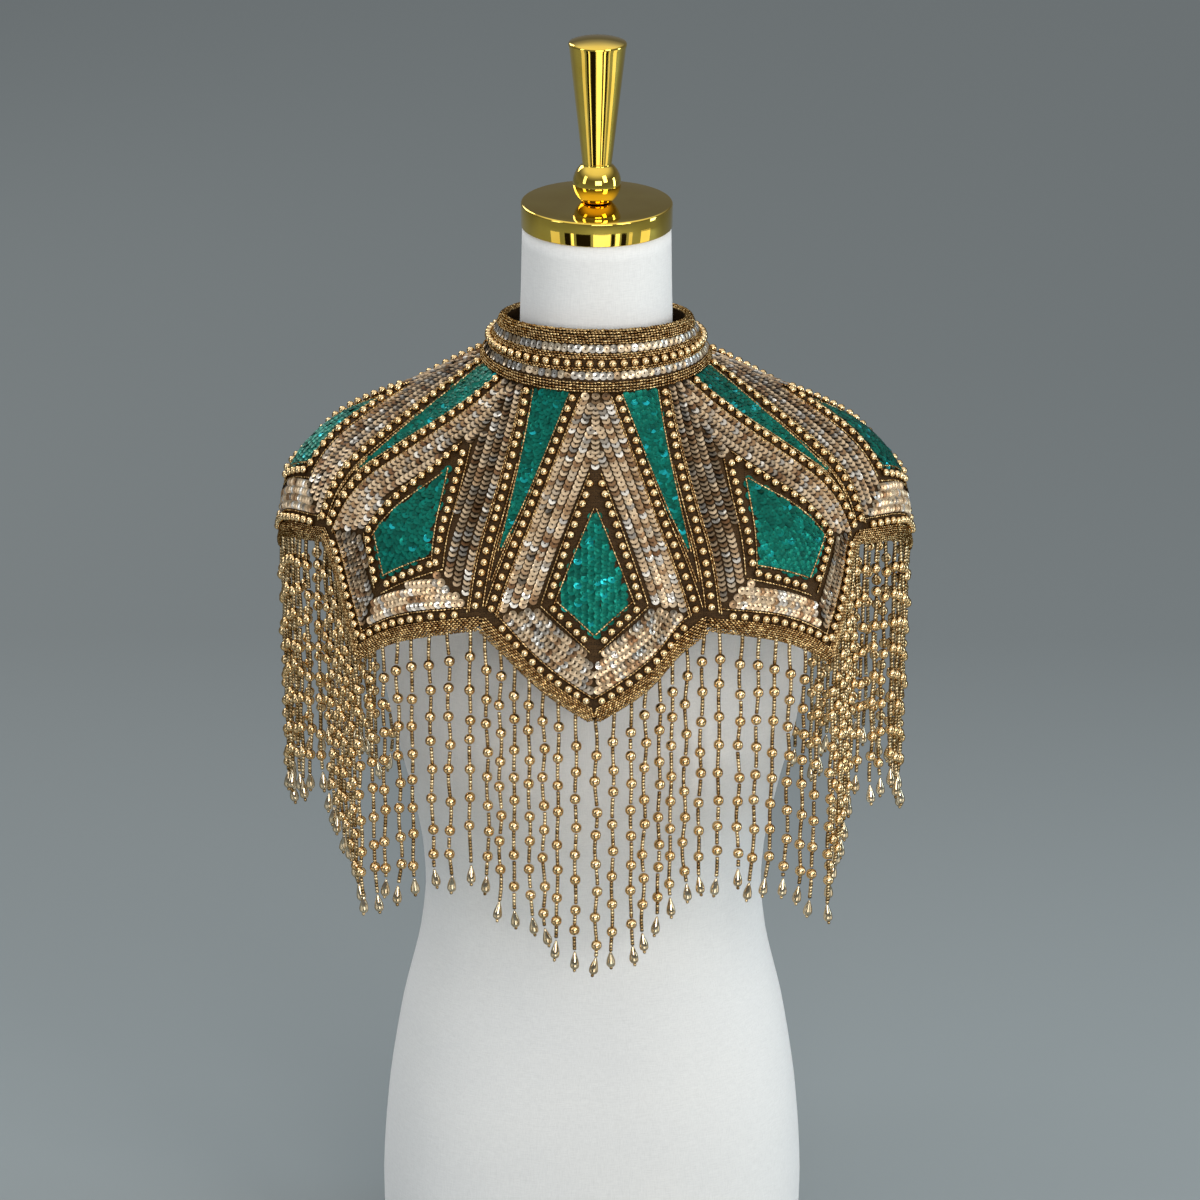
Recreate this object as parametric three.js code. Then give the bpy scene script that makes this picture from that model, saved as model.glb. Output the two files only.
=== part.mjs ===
// A beaded capelet with a stand collar and a long bead fringe, on a limbless dress form.
// Millimetres, +Z up. The form stands on z = 0 on its flat base, its front faces -Y, and the
// neck, collar and cape share the upright axis x = y = 0.
import * as THREE from "three";

// ---- heights on the form -------------------------------------------------------------------
const SEAM_Z = 778; // the seam where the collar joins the yoke
const CAP_TOP_Z = 895; // top of the gold neck cap
const CAP_HEIGHT = 17.5;
const CAP_RADIUS = 55;
const GAP = 0.3; // clearance between pieces that touch

// ---- the yoke's flat cut -------------------------------------------------------------------
// The yoke is cut as a ring sector of eight pointed petals. In a petal's flat frame X runs
// across from its centre line and Y down from the neck edge; the sector's centre is at Y = -NECK_CUT.
const NECK_CUT = 114; // radius of the neck edge in the flat cut
const HALF_CUT = 0.281; // half a petal's angle in the flat cut, radians
const HALF_TURN = Math.PI / 8; // half a petal's angle round the body
const VALLEY = 178; // neck edge to the notch between two petals
const POINT = 236; // neck edge to a petal's point
const HEM_BOW = 7; // how far the hem bows out between notch and point, at centre front and back
const SEAM_RADIUS = 82; // radius of the neck edge on the body
const WALL = 1.6; // beaded cloth
const PEARL_RIDGE = 4; // how far a row of sewn pearls stands above the cloth
const RIDGE_FOOT = 3.4; // half the width of such a row
const TRIM_RIDGE = 1.5; // the rolled edge of seed beads
const BACK_SLIT = 1; // the opening at the centre back
const SIDE_SEAM = 0.25; // half the parting at the seams behind the shoulders

// ---- how the cloth hangs -------------------------------------------------------------------
// A row for each bearing from the front, the same to the left, the right and the back: the
// direction in plan in which the cloth runs, and its slope below level at five distances
// from the neck edge.
const SLOPE_AT = [0, 60, 110, 155, 200];
const DRAPE = [
  { bearing: 0, heading: 0, slopes: [61, 60, 68, 74, 75] },
  { bearing: 22.5, heading: 37, slopes: [66, 60, 55, 68, 73] },
  { bearing: 45, heading: 60, slopes: [55, 45, 38, 66, 71] },
  { bearing: 67.5, heading: 75, slopes: [38, 33, 36, 69, 77] },
  { bearing: 90, heading: 90, slopes: [24, 24, 27, 52, 86] },
];
// The largest folds: a soft trough or ridge that deepens from the neck edge to the hem.
const FOLDS = [
  { bearing: 17, depth: -7, width: 5 },
  { bearing: 29, depth: 4, width: 7 },
  { bearing: -31, depth: 6, width: 8 },
  { bearing: -17, depth: -3, width: 6 },
  { bearing: 64, depth: -4, width: 7 },
  { bearing: -72, depth: 4, width: 8 },
  { bearing: 118, depth: 4, width: 8 },
  { bearing: -109, depth: -4, width: 7 },
  { bearing: 154, depth: -5, width: 7 },
  { bearing: -160, depth: 5, width: 8 },
];

const rad = THREE.MathUtils.degToRad;
const lerp = THREE.MathUtils.lerp;
const clamp = THREE.MathUtils.clamp;

// A smooth curve through the values of a quarter turn, mirrored past both of its ends.
function quarterCurve(values, place, oddAtStart, oddAtEnd) {
  const last = values.length - 1;
  const at = (i) => {
    if (i < 0) return oddAtStart ? -values[-i] : values[-i];
    if (i > last) return oddAtEnd ? 2 * values[last] - values[2 * last - i] : values[2 * last - i];
    return values[i];
  };
  const i = clamp(Math.floor(place), 0, last - 1);
  const t = place - i;
  const [a, b, c, d] = [at(i - 1), at(i), at(i + 1), at(i + 2)];
  return b + 0.5 * t * (c - a + t * (2 * a - 5 * b + 4 * c - d + t * (3 * (b - c) + d - a)));
}

function slopeAt(slopes, distance) {
  const last = SLOPE_AT.length - 1;
  let i = 0;
  while (i < last - 1 && distance > SLOPE_AT[i + 1]) i += 1;
  const t = clamp((distance - SLOPE_AT[i]) / (SLOPE_AT[i + 1] - SLOPE_AT[i]), 0, 1);
  return rad(lerp(slopes[i], slopes[i + 1], t));
}

function foldDepth(bearing, distance) {
  let depth = 0;
  for (const fold of FOLDS) {
    const away = THREE.MathUtils.euclideanModulo(bearing - rad(fold.bearing) + Math.PI, 2 * Math.PI);
    const t = (away - Math.PI) / rad(fold.width);
    depth += fold.depth * Math.exp(-t * t);
  }
  return depth * Math.pow(Math.max(distance, 0) / VALLEY, 1.5);
}

// The cloth's outer face at a bearing round the body and a distance down from the neck edge.
const PATH_STEPS = 24;
function clothPoint(bearing, distance) {
  const side = Math.sign(Math.sin(bearing)) || 1;
  const behind = Math.cos(bearing) < 0;
  let quarter = Math.abs(Math.atan2(Math.sin(bearing), Math.cos(bearing)));
  if (behind) quarter = Math.PI - quarter;
  const place = quarter / HALF_TURN;
  const slopes = SLOPE_AT.map((_, i) => {
    const column = DRAPE.map((row) => row.slopes[i]);
    return quarterCurve(column, place, false, false);
  });
  const headings = DRAPE.map((row) => row.heading);
  const heading = rad(quarterCurve(headings, place, true, true));
  let out = 0;
  let down = 0;
  const step = distance / PATH_STEPS;
  for (let i = 0; i < PATH_STEPS; i += 1) {
    const slope = slopeAt(slopes, step * (i + 0.5));
    out += Math.cos(slope) * step;
    down += Math.sin(slope) * step;
  }
  out += foldDepth(bearing, distance);
  return new THREE.Vector3(
    SEAM_RADIUS * Math.sin(bearing) + side * out * Math.sin(heading),
    -SEAM_RADIUS * Math.cos(bearing) + (behind ? 1 : -1) * out * Math.cos(heading),
    SEAM_Z - down,
  );
}

// A point of petal number k (0 in front, counted to +X) from its flat frame, moved out by height.
function petalPoint(k, x, y, height) {
  const at = (px, py) => {
    const bearing = 2 * k * HALF_TURN + (Math.atan2(px, py + NECK_CUT) * HALF_TURN) / HALF_CUT;
    return clothPoint(bearing, Math.hypot(px, py + NECK_CUT) - NECK_CUT);
  };
  const point = at(x, y);
  if (height === 0) return point;
  const across = at(x + 1, y).sub(at(x - 1, y));
  const along = at(x, y + 1).sub(at(x, y - 1));
  return point.addScaledVector(along.cross(across).normalize(), height);
}

// ---- one half petal as nested lines --------------------------------------------------------
// Each line leaves the neck edge, runs down to a corner and turns along the hem to the petal's
// centre line: the petal's own edge, the pearl row that follows it, and the pearl kite.
const SIDE = { x: Math.sin(HALF_CUT), y: Math.cos(HALF_CUT) };
function sidePoint(distance, inset) {
  const r = NECK_CUT + distance;
  return { x: r * SIDE.x - inset * SIDE.y, y: r * SIDE.y + inset * SIDE.x - NECK_CUT };
}
const CORNER = sidePoint(VALLEY, 0);
const HEM_LENGTH = Math.hypot(CORNER.x, POINT - CORNER.y);
const HEM = { x: -CORNER.x / HEM_LENGTH, y: (POINT - CORNER.y) / HEM_LENGTH }; // towards the point

// The meeting of a line that lies `inset` inside the petal's side with one `rise` above its hem.
function cornerPoint(inset, rise) {
  const from = sidePoint(0, inset);
  const base = { x: CORNER.x - rise * HEM.y, y: CORNER.y + rise * HEM.x };
  const t = ((base.x - from.x) * HEM.y - (base.y - from.y) * HEM.x) / (SIDE.x * HEM.y - SIDE.y * HEM.x);
  return { x: from.x + t * SIDE.x, y: from.y + t * SIDE.y };
}
const centreOf = (rise) => ({ x: 0, y: POINT - rise / -HEM.x });

const ROW_AT_NECK = 17.8; // the pearl row's distance from the petal's side, at the neck
const ROW_AT_CORNER = 4.4; // and at its corner
const ROW_ABOVE_HEM = 12;
const KITE = { top: 68, wide: 33.5, shoulder: 153, foot: 184 };
const KITE_TURN = Math.atan2(KITE.wide, KITE.shoulder - KITE.top);
// How far the kite's lines lie from the centre line at the neck and at the kite's top, and
// what a shift of the line adds to its shoulder and to its foot.
const KITE_LINES = {
  outside: { atNeck: 6.6, atTop: 3.7 },
  crest: { atNeck: 4.4, atTop: 1.2 },
  inside: { atNeck: 2.2, atTop: 0.6 },
};
const SHOULDER_SHARE = 0.3;
const FOOT_SHARE = 1.4;
const CORE = { shoulder: 155, foot: 171 }; // the middle of the kite

// How far the hem lies outside the straight line from notch to point, at a share of the way.
function hemBow(k, share) {
  return k % 4 === 0 ? HEM_BOW * 4 * share * (1 - share) : 0;
}
function edgeLine() {
  return {
    start: sidePoint(0, 0),
    corner: CORNER,
    end: centreOf(0),
    ridge: 0,
    hemRidge: TRIM_RIDGE,
    bows: true,
  };
}
function rowLine(shift, height) {
  return {
    start: sidePoint(0, ROW_AT_NECK + shift),
    corner: cornerPoint(ROW_AT_CORNER + shift, ROW_ABOVE_HEM + shift),
    end: centreOf(ROW_ABOVE_HEM + shift),
    ridge: height,
    hemRidge: height,
    bows: true,
  };
}
// The kite's lines run close to the centre line from the neck to the kite's top and then part.
function kiteLine(shift, { atNeck, atTop }, height) {
  const across = shift / Math.cos(KITE_TURN);
  return {
    start: { x: atNeck, y: 0 },
    top: { x: atTop, y: KITE.top },
    corner: { x: KITE.wide + across, y: KITE.shoulder + shift * SHOULDER_SHARE },
    end: { x: 0, y: KITE.foot + shift * FOOT_SHARE },
    ridge: height,
    hemRidge: height,
  };
}
const coreLine = {
  start: { x: 0, y: 0 },
  top: { x: 0, y: KITE.top },
  corner: { x: 0, y: CORE.shoulder },
  end: { x: 0, y: CORE.foot },
  ridge: 0,
  hemRidge: 0,
};
const LINES = [
  edgeLine(),
  rowLine(-RIDGE_FOOT, 0),
  rowLine(0, PEARL_RIDGE),
  rowLine(RIDGE_FOOT, 0),
  kiteLine(RIDGE_FOOT, KITE_LINES.outside, 0),
  kiteLine(0, KITE_LINES.crest, PEARL_RIDGE),
  kiteLine(-RIDGE_FOOT, KITE_LINES.inside, 0),
  coreLine,
];
const DOWN_STEPS = 7; // neck edge to corner
const HEM_STEPS = 4; // corner to centre line
const TOP_STEP = 3; // the row of points that the kite's top lies on
const TOP_SHARE = KITE.top / KITE.shoulder;

function linePoint(line, row, k) {
  const mix = (a, b, t) => ({ x: lerp(a.x, b.x, t), y: lerp(a.y, b.y, t) });
  if (row > DOWN_STEPS) {
    const along = (row - DOWN_STEPS) / HEM_STEPS;
    const { x, y } = mix(line.corner, line.end, along);
    const bow = line.bows ? hemBow(k, along) : 0;
    return { x: x + bow * HEM.y, y: y - bow * HEM.x, height: line.hemRidge };
  }
  const belowTop = (row - TOP_STEP) / (DOWN_STEPS - TOP_STEP);
  const share = row < TOP_STEP ? (TOP_SHARE * row) / TOP_STEP : lerp(TOP_SHARE, 1, belowTop);
  // The raised rows die away at the neck edge, under the collar.
  if (!line.top) return { ...mix(line.start, line.corner, share), height: row === 0 ? 0 : line.ridge };
  if (row < TOP_STEP) return { ...mix(line.start, line.top, row / TOP_STEP), height: 0 };
  return { ...mix(line.top, line.corner, belowTop), height: line.ridge };
}

// ---- sheets that become walls --------------------------------------------------------------
class Sheet {
  constructor() {
    this.outer = [];
    this.inner = [];
    this.faces = [];
    this.known = new Map();
  }
  vertex(outer, inner) {
    const key = outer.toArray().map((v) => Math.round(v * 50)).join();
    if (!this.known.has(key)) {
      this.known.set(key, this.outer.length);
      this.outer.push(outer);
      this.inner.push(inner);
    }
    return this.known.get(key);
  }
  triangle(a, b, c) {
    if (a !== b && b !== c && c !== a) this.faces.push([a, b, c]);
  }
  quad(a, b, c, d) {
    this.triangle(a, b, c);
    this.triangle(a, c, d);
  }
  // The outer face, the inner face turned round, and a rim along every open edge.
  geometry() {
    const n = this.outer.length;
    const edges = new Set(this.faces.flatMap(([a, b, c]) => [`${a},${b}`, `${b},${c}`, `${c},${a}`]));
    const faces = [];
    for (const [a, b, c] of this.faces) {
      faces.push([a, b, c], [c + n, b + n, a + n]);
      for (const [p, q] of [[a, b], [b, c], [c, a]]) {
        if (!edges.has(`${q},${p}`)) faces.push([q, p, p + n], [q, p + n, q + n]);
      }
    }
    return closedGeometry([...this.outer, ...this.inner], faces);
  }
}

function closedGeometry(points, faces) {
  const geometry = new THREE.BufferGeometry();
  const numbers = points.flatMap((p) => p.toArray());
  geometry.setAttribute("position", new THREE.Float32BufferAttribute(numbers, 3));
  geometry.setIndex(faces.flat());
  geometry.computeVertexNormals();
  return geometry;
}

// Adds half a petal to a sheet; side is 1 towards +X's bearing or -1. Where the half petal ends at
// an opening, its points keep clear of it by slit (centre line) or seam (side line).
function addHalfPetal(sheet, k, side, slit = 0, seam = 0) {
  const grid = LINES.map((line, j) => {
    const points = [];
    for (let row = 0; row <= DOWN_STEPS + HEM_STEPS; row += 1) {
      const { x, y, height } = linePoint(line, row, k);
      const atSide = j === 0 && row <= DOWN_STEPS ? seam : 0;
      const halfWidth = linePoint(LINES[0], Math.min(row, DOWN_STEPS), k).x;
      const shifted = side * (x + slit * (1 - x / halfWidth) - atSide);
      const outer = petalPoint(k, shifted, y, height);
      points.push(sheet.vertex(outer, petalPoint(k, shifted, y, -WALL)));
    }
    return points;
  });
  for (let j = 0; j + 1 < grid.length; j += 1) {
    for (let row = 0; row + 1 < grid[j].length; row += 1) {
      const ring = [grid[j][row], grid[j][row + 1], grid[j + 1][row + 1], grid[j + 1][row]];
      if (side > 0) ring.reverse();
      sheet.quad(...ring);
    }
  }
}

// ---- the stand collar ----------------------------------------------------------------------
const COLLAR = { bottomRadius: 84, topRadius: 67.5, height: 31, wall: 2.6, slit: 1, columns: 36 };
const COLLAR_RIDGE = 3; // its row of pearls
const COLLAR_ROLL = 1.4; // its rolled top edge
const COLLAR_CREST = 9.6; // how much its top edge stands up in front and drops behind
// Shares of the way from the seam to the top edge, and how far the beads stand out there.
const COLLAR_ROWS = [
  { share: 0, height: 0 },
  { share: 0.355, height: 0 },
  { share: 0.44, height: COLLAR_RIDGE },
  { share: 0.525, height: 0 },
  { share: 0.9, height: 0 },
  { share: 0.96, height: COLLAR_ROLL },
  { share: 1, height: 0 },
];

function collarPoint(bearing, share, height) {
  const top = COLLAR.height + COLLAR_CREST * Math.cos(bearing);
  const lean = Math.atan2(COLLAR.bottomRadius - COLLAR.topRadius, top);
  const radius = lerp(COLLAR.bottomRadius, COLLAR.topRadius, share) + height * Math.cos(lean);
  // The bottom face stays level, so that it meets the seam all round.
  const rise = top * share + (share === 0 ? 0 : height * Math.sin(lean));
  const level = SEAM_Z + GAP + rise;
  return new THREE.Vector3(radius * Math.sin(bearing), -radius * Math.cos(bearing), level);
}

function collarGeometry() {
  const sheet = new Sheet();
  const half = Math.PI - COLLAR.slit / COLLAR.bottomRadius;
  const grid = [];
  for (let i = 0; i <= COLLAR.columns; i += 1) {
    const bearing = lerp(-half, half, i / COLLAR.columns);
    grid.push(COLLAR_ROWS.map(({ share, height }) =>
      sheet.vertex(collarPoint(bearing, share, height), collarPoint(bearing, share, -COLLAR.wall)),
    ));
  }
  for (let i = 0; i < COLLAR.columns; i += 1) {
    for (let j = 0; j + 1 < COLLAR_ROWS.length; j += 1) {
      sheet.quad(grid[i][j], grid[i + 1][j], grid[i + 1][j + 1], grid[i][j + 1]);
    }
  }
  return sheet.geometry();
}

// ---- the bead fringe -----------------------------------------------------------------------
const STRIP = { depth: 3, end: 2.5, gap: 0.6 }; // the narrow backing that the strands are sewn to
const STRAND = { pitch: 14, root: 3, half: 1.6, neck: 1.28, length: 205, spread: 6, sway: 1.6 };
const ROUNDED_AT = 9; // below its root a strand is square
const DROP = { length: 15, half: 3.2, tip: 0.8, widest: 5 };
const STRANDS_A_SIDE = 7; // on each side of the one at the point
const NUMBERS_A_PETAL = 53; // strand numbers kept for each petal

// Along the hem, w runs from the petal's point, positive to its right; below is past the edge.
// The strip runs straight between the yoke's own points, so that it stays parallel to its edge.
function hemPoint(k, w, below, height) {
  const step = HEM_LENGTH / HEM_STEPS;
  const at = (v) => {
    const side = Math.sign(v);
    const past = below + hemBow(k, Math.abs(v) / HEM_LENGTH);
    const x = side * (Math.abs(v) * -HEM.x + past * HEM.y);
    const y = POINT - Math.abs(v) * HEM.y + (side === 0 ? past / -HEM.x : past * -HEM.x);
    return petalPoint(k, x, y, height);
  };
  const before = Math.floor(w / step) * step;
  return at(before).lerp(at(before + step), (w - before) / step);
}

// A steady scatter from 0 to 1 that a strand's number gives.
const scatter = (n) => THREE.MathUtils.euclideanModulo(Math.sin(n * 127.1 + 3.7) * 43758.5453, 1);

function fringeGeometry(k, from, to) {
  const roots = [];
  for (let i = -STRANDS_A_SIDE; i <= STRANDS_A_SIDE; i += 1) {
    const left = i < 0 ? i * STRAND.pitch - STRAND.root / 2 : i * STRAND.pitch;
    const shifted = i === 0 ? Math.max(left, from) : left;
    if (shifted < from || shifted + STRAND.root > to) continue;
    roots.push({ w: shifted, number: k * NUMBERS_A_PETAL + i });
  }
  const stations = roots.flatMap(({ w, number }) => [{ w, number }, { w: w + STRAND.root }]);
  if (stations[0].w > from) stations.unshift({ w: from });
  if (stations.at(-1).w < to) stations.push({ w: to });
  const points = [];
  const faces = [];
  const add = (p) => points.push(p) - 1;
  const quad = (a, b, c, d) => faces.push([a, b, c], [a, c, d]);
  const rings = stations.map(({ w }) => ({
    topOut: add(hemPoint(k, w, STRIP.gap, 0)),
    bottomOut: add(hemPoint(k, w, STRIP.gap + STRIP.depth, 0)),
    bottomIn: add(hemPoint(k, w, STRIP.gap + STRIP.depth, -WALL)),
    topIn: add(hemPoint(k, w, STRIP.gap, -WALL)),
  }));
  const first = rings[0];
  const last = rings.at(-1);
  quad(first.bottomOut, first.topOut, first.topIn, first.bottomIn);
  quad(last.topOut, last.bottomOut, last.bottomIn, last.topIn);
  for (let i = 0; i + 1 < rings.length; i += 1) {
    const [a, b] = [rings[i], rings[i + 1]];
    quad(a.topOut, a.bottomOut, b.bottomOut, b.topOut);
    quad(a.topIn, b.topIn, b.bottomIn, a.bottomIn);
    quad(a.topOut, b.topOut, b.topIn, a.topIn);
    const root = [a.bottomOut, a.bottomIn, b.bottomIn, b.bottomOut];
    if (stations[i].number === undefined) quad(...root);
    else addStrand(root, stations[i].number);
  }
  return closedGeometry(points, faces);

  // A strand hangs straight down from its root and ends in a drop.
  function addStrand(root, number) {
    const corners = root.map((i) => points[i]);
    const centre = corners.reduce((sum, p) => sum.add(p), new THREE.Vector3()).multiplyScalar(0.25);
    const right = corners[3].clone().sub(corners[0]).setZ(0).normalize();
    const out = new THREE.Vector3(right.y, -right.x, 0);
    const length = STRAND.length + STRAND.spread * (2 * scatter(number) - 1);
    const turn = 2 * Math.PI * scatter(number + 0.5);
    const levels = [
      { down: ROUNDED_AT, half: STRAND.half, sway: 0 },
      { down: length - DROP.length, half: STRAND.neck, sway: 0.6 },
      { down: length - DROP.widest, half: DROP.half, sway: 1 },
      { down: length, half: DROP.tip, sway: 1 },
    ];
    let ring = root;
    for (const { down, half, sway } of levels) {
      const next = [[-1, 1], [-1, -1], [1, -1], [1, 1]].map(([r, o]) => add(new THREE.Vector3(
        centre.x + half * (r * right.x + o * out.x) + sway * STRAND.sway * Math.cos(turn),
        centre.y + half * (r * right.y + o * out.y) + sway * STRAND.sway * Math.sin(turn),
        centre.z - down,
      )));
      for (let i = 0; i < 4; i += 1) quad(ring[i], ring[(i + 1) % 4], next[(i + 1) % 4], next[i]);
      ring = next;
    }
    quad(...ring);
  }
}

// ---- the dress form ------------------------------------------------------------------------
// Level sections: how far below the collar's seam, the half width, the depth in front of and
// behind the axis, and the exponent of the superellipse (2 is an ellipse, less is pointed).
const NECK_TOP_Z = CAP_TOP_Z - CAP_HEIGHT - GAP;
const FORM_SECTIONS = [
  { below: 778, half: 154, front: 97, back: 109, square: 2.2 },
  { below: 772, half: 160, front: 103, back: 115, square: 2.2 },
  { below: 740, half: 164, front: 106, back: 119, square: 2.2 },
  { below: 681, half: 165.6, front: 108, back: 121, square: 2.2 },
  { below: 600, half: 159.4, front: 106, back: 115, square: 2.2 },
  { below: 530, half: 148, front: 100, back: 101, square: 2.15 },
  { below: 470, half: 134, front: 95, back: 88, square: 2.1 },
  { below: 430, half: 129.5, front: 93, back: 83, square: 2.1 },
  { below: 390, half: 131.5, front: 97, back: 84, square: 2.1 },
  { below: 338, half: 141.5, front: 106, back: 90, square: 2.1 },
  { below: 285, half: 154, front: 112, back: 97, square: 2.1 },
  { below: 240, half: 161, front: 110, back: 101, square: 2.1 },
  { below: 200, half: 165, front: 105, back: 102, square: 2.1 },
  { below: 165, half: 172, front: 99, back: 101, square: 2.1 },
  { below: 130, half: 181, front: 93, back: 97, square: 2.15 },
  { below: 100, half: 188, front: 87, back: 91, square: 2.1 },
  { below: 75, half: 187, front: 81, back: 84, square: 1.95 },
  { below: 55, half: 180, front: 76, back: 78, square: 1.8 },
  { below: 43.2, half: 167, front: 72, back: 74, square: 1.7 },
  { below: 33.7, half: 148, front: 69, back: 71, square: 1.6 },
  { below: 23.2, half: 126.5, front: 66, back: 68, square: 1.6 },
  { below: 15, half: 103, front: 63, back: 66, square: 1.7 },
  { below: 8, half: 76, front: 60, back: 62, square: 1.9 },
  { below: 0, half: 61, front: 58, back: 59, square: 2 },
  { below: -12, half: 57, front: 57, back: 57, square: 2 },
  { below: -40, half: 55.5, front: 55.5, back: 55.5, square: 2 },
  { below: SEAM_Z - NECK_TOP_Z, half: 54, front: 54, back: 54, square: 2 },
];
const FORM_COLUMNS = 40;
const BUST = { across: 78, below: 285, rise: 16, width: 46, height: 55 };

function formGeometry() {
  const points = [];
  const faces = [];
  for (const { below, half, front, back, square } of FORM_SECTIONS) {
    for (let i = 0; i < FORM_COLUMNS; i += 1) {
      const turn = (2 * Math.PI * i) / FORM_COLUMNS;
      const bend = (v) => Math.sign(v) * Math.abs(v) ** (2 / square);
      const x = half * bend(Math.cos(turn));
      const sine = bend(Math.sin(turn));
      const across = (Math.abs(x) - BUST.across) / BUST.width;
      const height = (below - BUST.below) / BUST.height;
      const bust = sine < 0 ? BUST.rise * -sine * Math.exp(-across * across - height * height) : 0;
      points.push(new THREE.Vector3(x, sine * (sine < 0 ? front : back) - bust, SEAM_Z - below));
    }
  }
  for (let j = 0; j + 1 < FORM_SECTIONS.length; j += 1) {
    for (let i = 0; i < FORM_COLUMNS; i += 1) {
      const [a, b] = [j * FORM_COLUMNS + i, j * FORM_COLUMNS + ((i + 1) % FORM_COLUMNS)];
      faces.push([a, b, b + FORM_COLUMNS], [a, b + FORM_COLUMNS, a + FORM_COLUMNS]);
    }
  }
  for (const [ring, up] of [[0, false], [FORM_SECTIONS.length - 1, true]]) {
    const start = ring * FORM_COLUMNS;
    const middle = points.push(new THREE.Vector3(0, 0, points[start].z)) - 1;
    for (let i = 0; i < FORM_COLUMNS; i += 1) {
      const [a, b] = [start + i, start + ((i + 1) % FORM_COLUMNS)];
      faces.push(up ? [a, b, middle] : [b, a, middle]);
    }
  }
  return closedGeometry(points, faces);
}

// ---- turned pieces -------------------------------------------------------------------------
// A solid of revolution about +Z from [radius, height] pairs that run up from the axis.
function turned(profile, segments) {
  const points = profile.map(([radius, height]) => new THREE.Vector2(radius, height));
  return new THREE.LatheGeometry(points, segments).rotateX(Math.PI / 2);
}

// An arc of a profile about a centre on the axis, from one angle to the other (up from level).
function arc(radius, height, from, to, steps) {
  return Array.from({ length: steps + 1 }, (_, i) => {
    const angle = lerp(from, to, i / steps);
    return [radius * Math.cos(angle), height + radius * Math.sin(angle)];
  });
}

const EDGE = 1.5; // rounding of the cap's rims
const capProfile = [
  [0, 0],
  [CAP_RADIUS - EDGE, 0],
  [CAP_RADIUS, EDGE],
  [CAP_RADIUS, CAP_HEIGHT - EDGE],
  [CAP_RADIUS - EDGE, CAP_HEIGHT],
  [0, CAP_HEIGHT],
];

const FINIAL = { ball: 17.5, ballHeight: 14, waist: 10.8, waistHeight: 28, top: 21, topHeight: 118 };
const FINIAL_EDGE = { in: 1.5, flare: 5, down: 2 }; // the rounding of its upper rim
const FINIAL_CROWN = { share: 0.6, shoulder: 2.2, full: 3 }; // its domed top, above the rim
const ballFoot = -Math.asin(FINIAL.ballHeight / FINIAL.ball);
const ballNeck = Math.acos(FINIAL.waist / FINIAL.ball);
const finialProfile = [
  [0, 0],
  ...arc(FINIAL.ball, FINIAL.ballHeight, ballFoot, ballNeck, 8),
  [FINIAL.waist, FINIAL.waistHeight],
  [FINIAL.top - FINIAL_EDGE.in, FINIAL.topHeight - FINIAL_EDGE.flare],
  [FINIAL.top, FINIAL.topHeight - FINIAL_EDGE.down],
  [FINIAL.top - FINIAL_EDGE.in, FINIAL.topHeight],
  [FINIAL.top * FINIAL_CROWN.share, FINIAL.topHeight + FINIAL_CROWN.shoulder],
  [0, FINIAL.topHeight + FINIAL_CROWN.full],
];

const BUTTON = { radius: 3.5, share: [0.2, 0.75], aside: 4.5 };

// ---- materials and the finished group ------------------------------------------------------
const finish = (color, roughness, metalness) =>
  new THREE.MeshStandardMaterial({ color, roughness, metalness, side: THREE.FrontSide });
const FINISH = {
  linen: () => finish(0xe4e4e0, 0.9, 0),
  gold: () => finish(0xd9a520, 0.15, 1),
  beading: () => finish(0xa8834f, 0.4, 0.6),
  fringe: () => finish(0xc9a45c, 0.3, 0.8),
};

const group = new THREE.Group();
function add(name, geometry, material, height = 0) {
  const mesh = new THREE.Mesh(geometry, material);
  mesh.name = name;
  mesh.position.z = height;
  group.add(mesh);
  return mesh;
}

add("dress_form", formGeometry(), FINISH.linen());
add("neck_cap", turned(capProfile, 48), FINISH.gold(), NECK_TOP_Z + GAP);
add("finial", turned(finialProfile, 32), FINISH.gold(), CAP_TOP_Z + GAP);

const BACK = 4; // the petal at the centre back
const front = new Sheet();
for (let k = -2; k <= 2; k += 1) {
  addHalfPetal(front, k, -1, 0, k === -2 ? SIDE_SEAM : 0);
  addHalfPetal(front, k, 1, 0, k === 2 ? SIDE_SEAM : 0);
}
add("yoke_front", front.geometry(), FINISH.beading());
for (const [name, whole, side] of [["yoke_back_right", 3, -1], ["yoke_back_left", -3, 1]]) {
  const sheet = new Sheet();
  addHalfPetal(sheet, whole, side, 0, SIDE_SEAM);
  addHalfPetal(sheet, whole, -side);
  addHalfPetal(sheet, BACK, side, BACK_SLIT / 2);
  add(name, sheet.geometry(), FINISH.beading());
}
add("collar", collarGeometry(), FINISH.beading());
BUTTON.share.forEach((share, i) => {
  const bearing = Math.PI - BUTTON.aside / COLLAR.topRadius;
  const ball = new THREE.SphereGeometry(BUTTON.radius, 12, 8).rotateX(Math.PI / 2);
  const mesh = add(`collar_button_${i + 1}`, ball, FINISH.gold());
  mesh.position.copy(collarPoint(bearing, share, BUTTON.radius + GAP));
});

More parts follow.
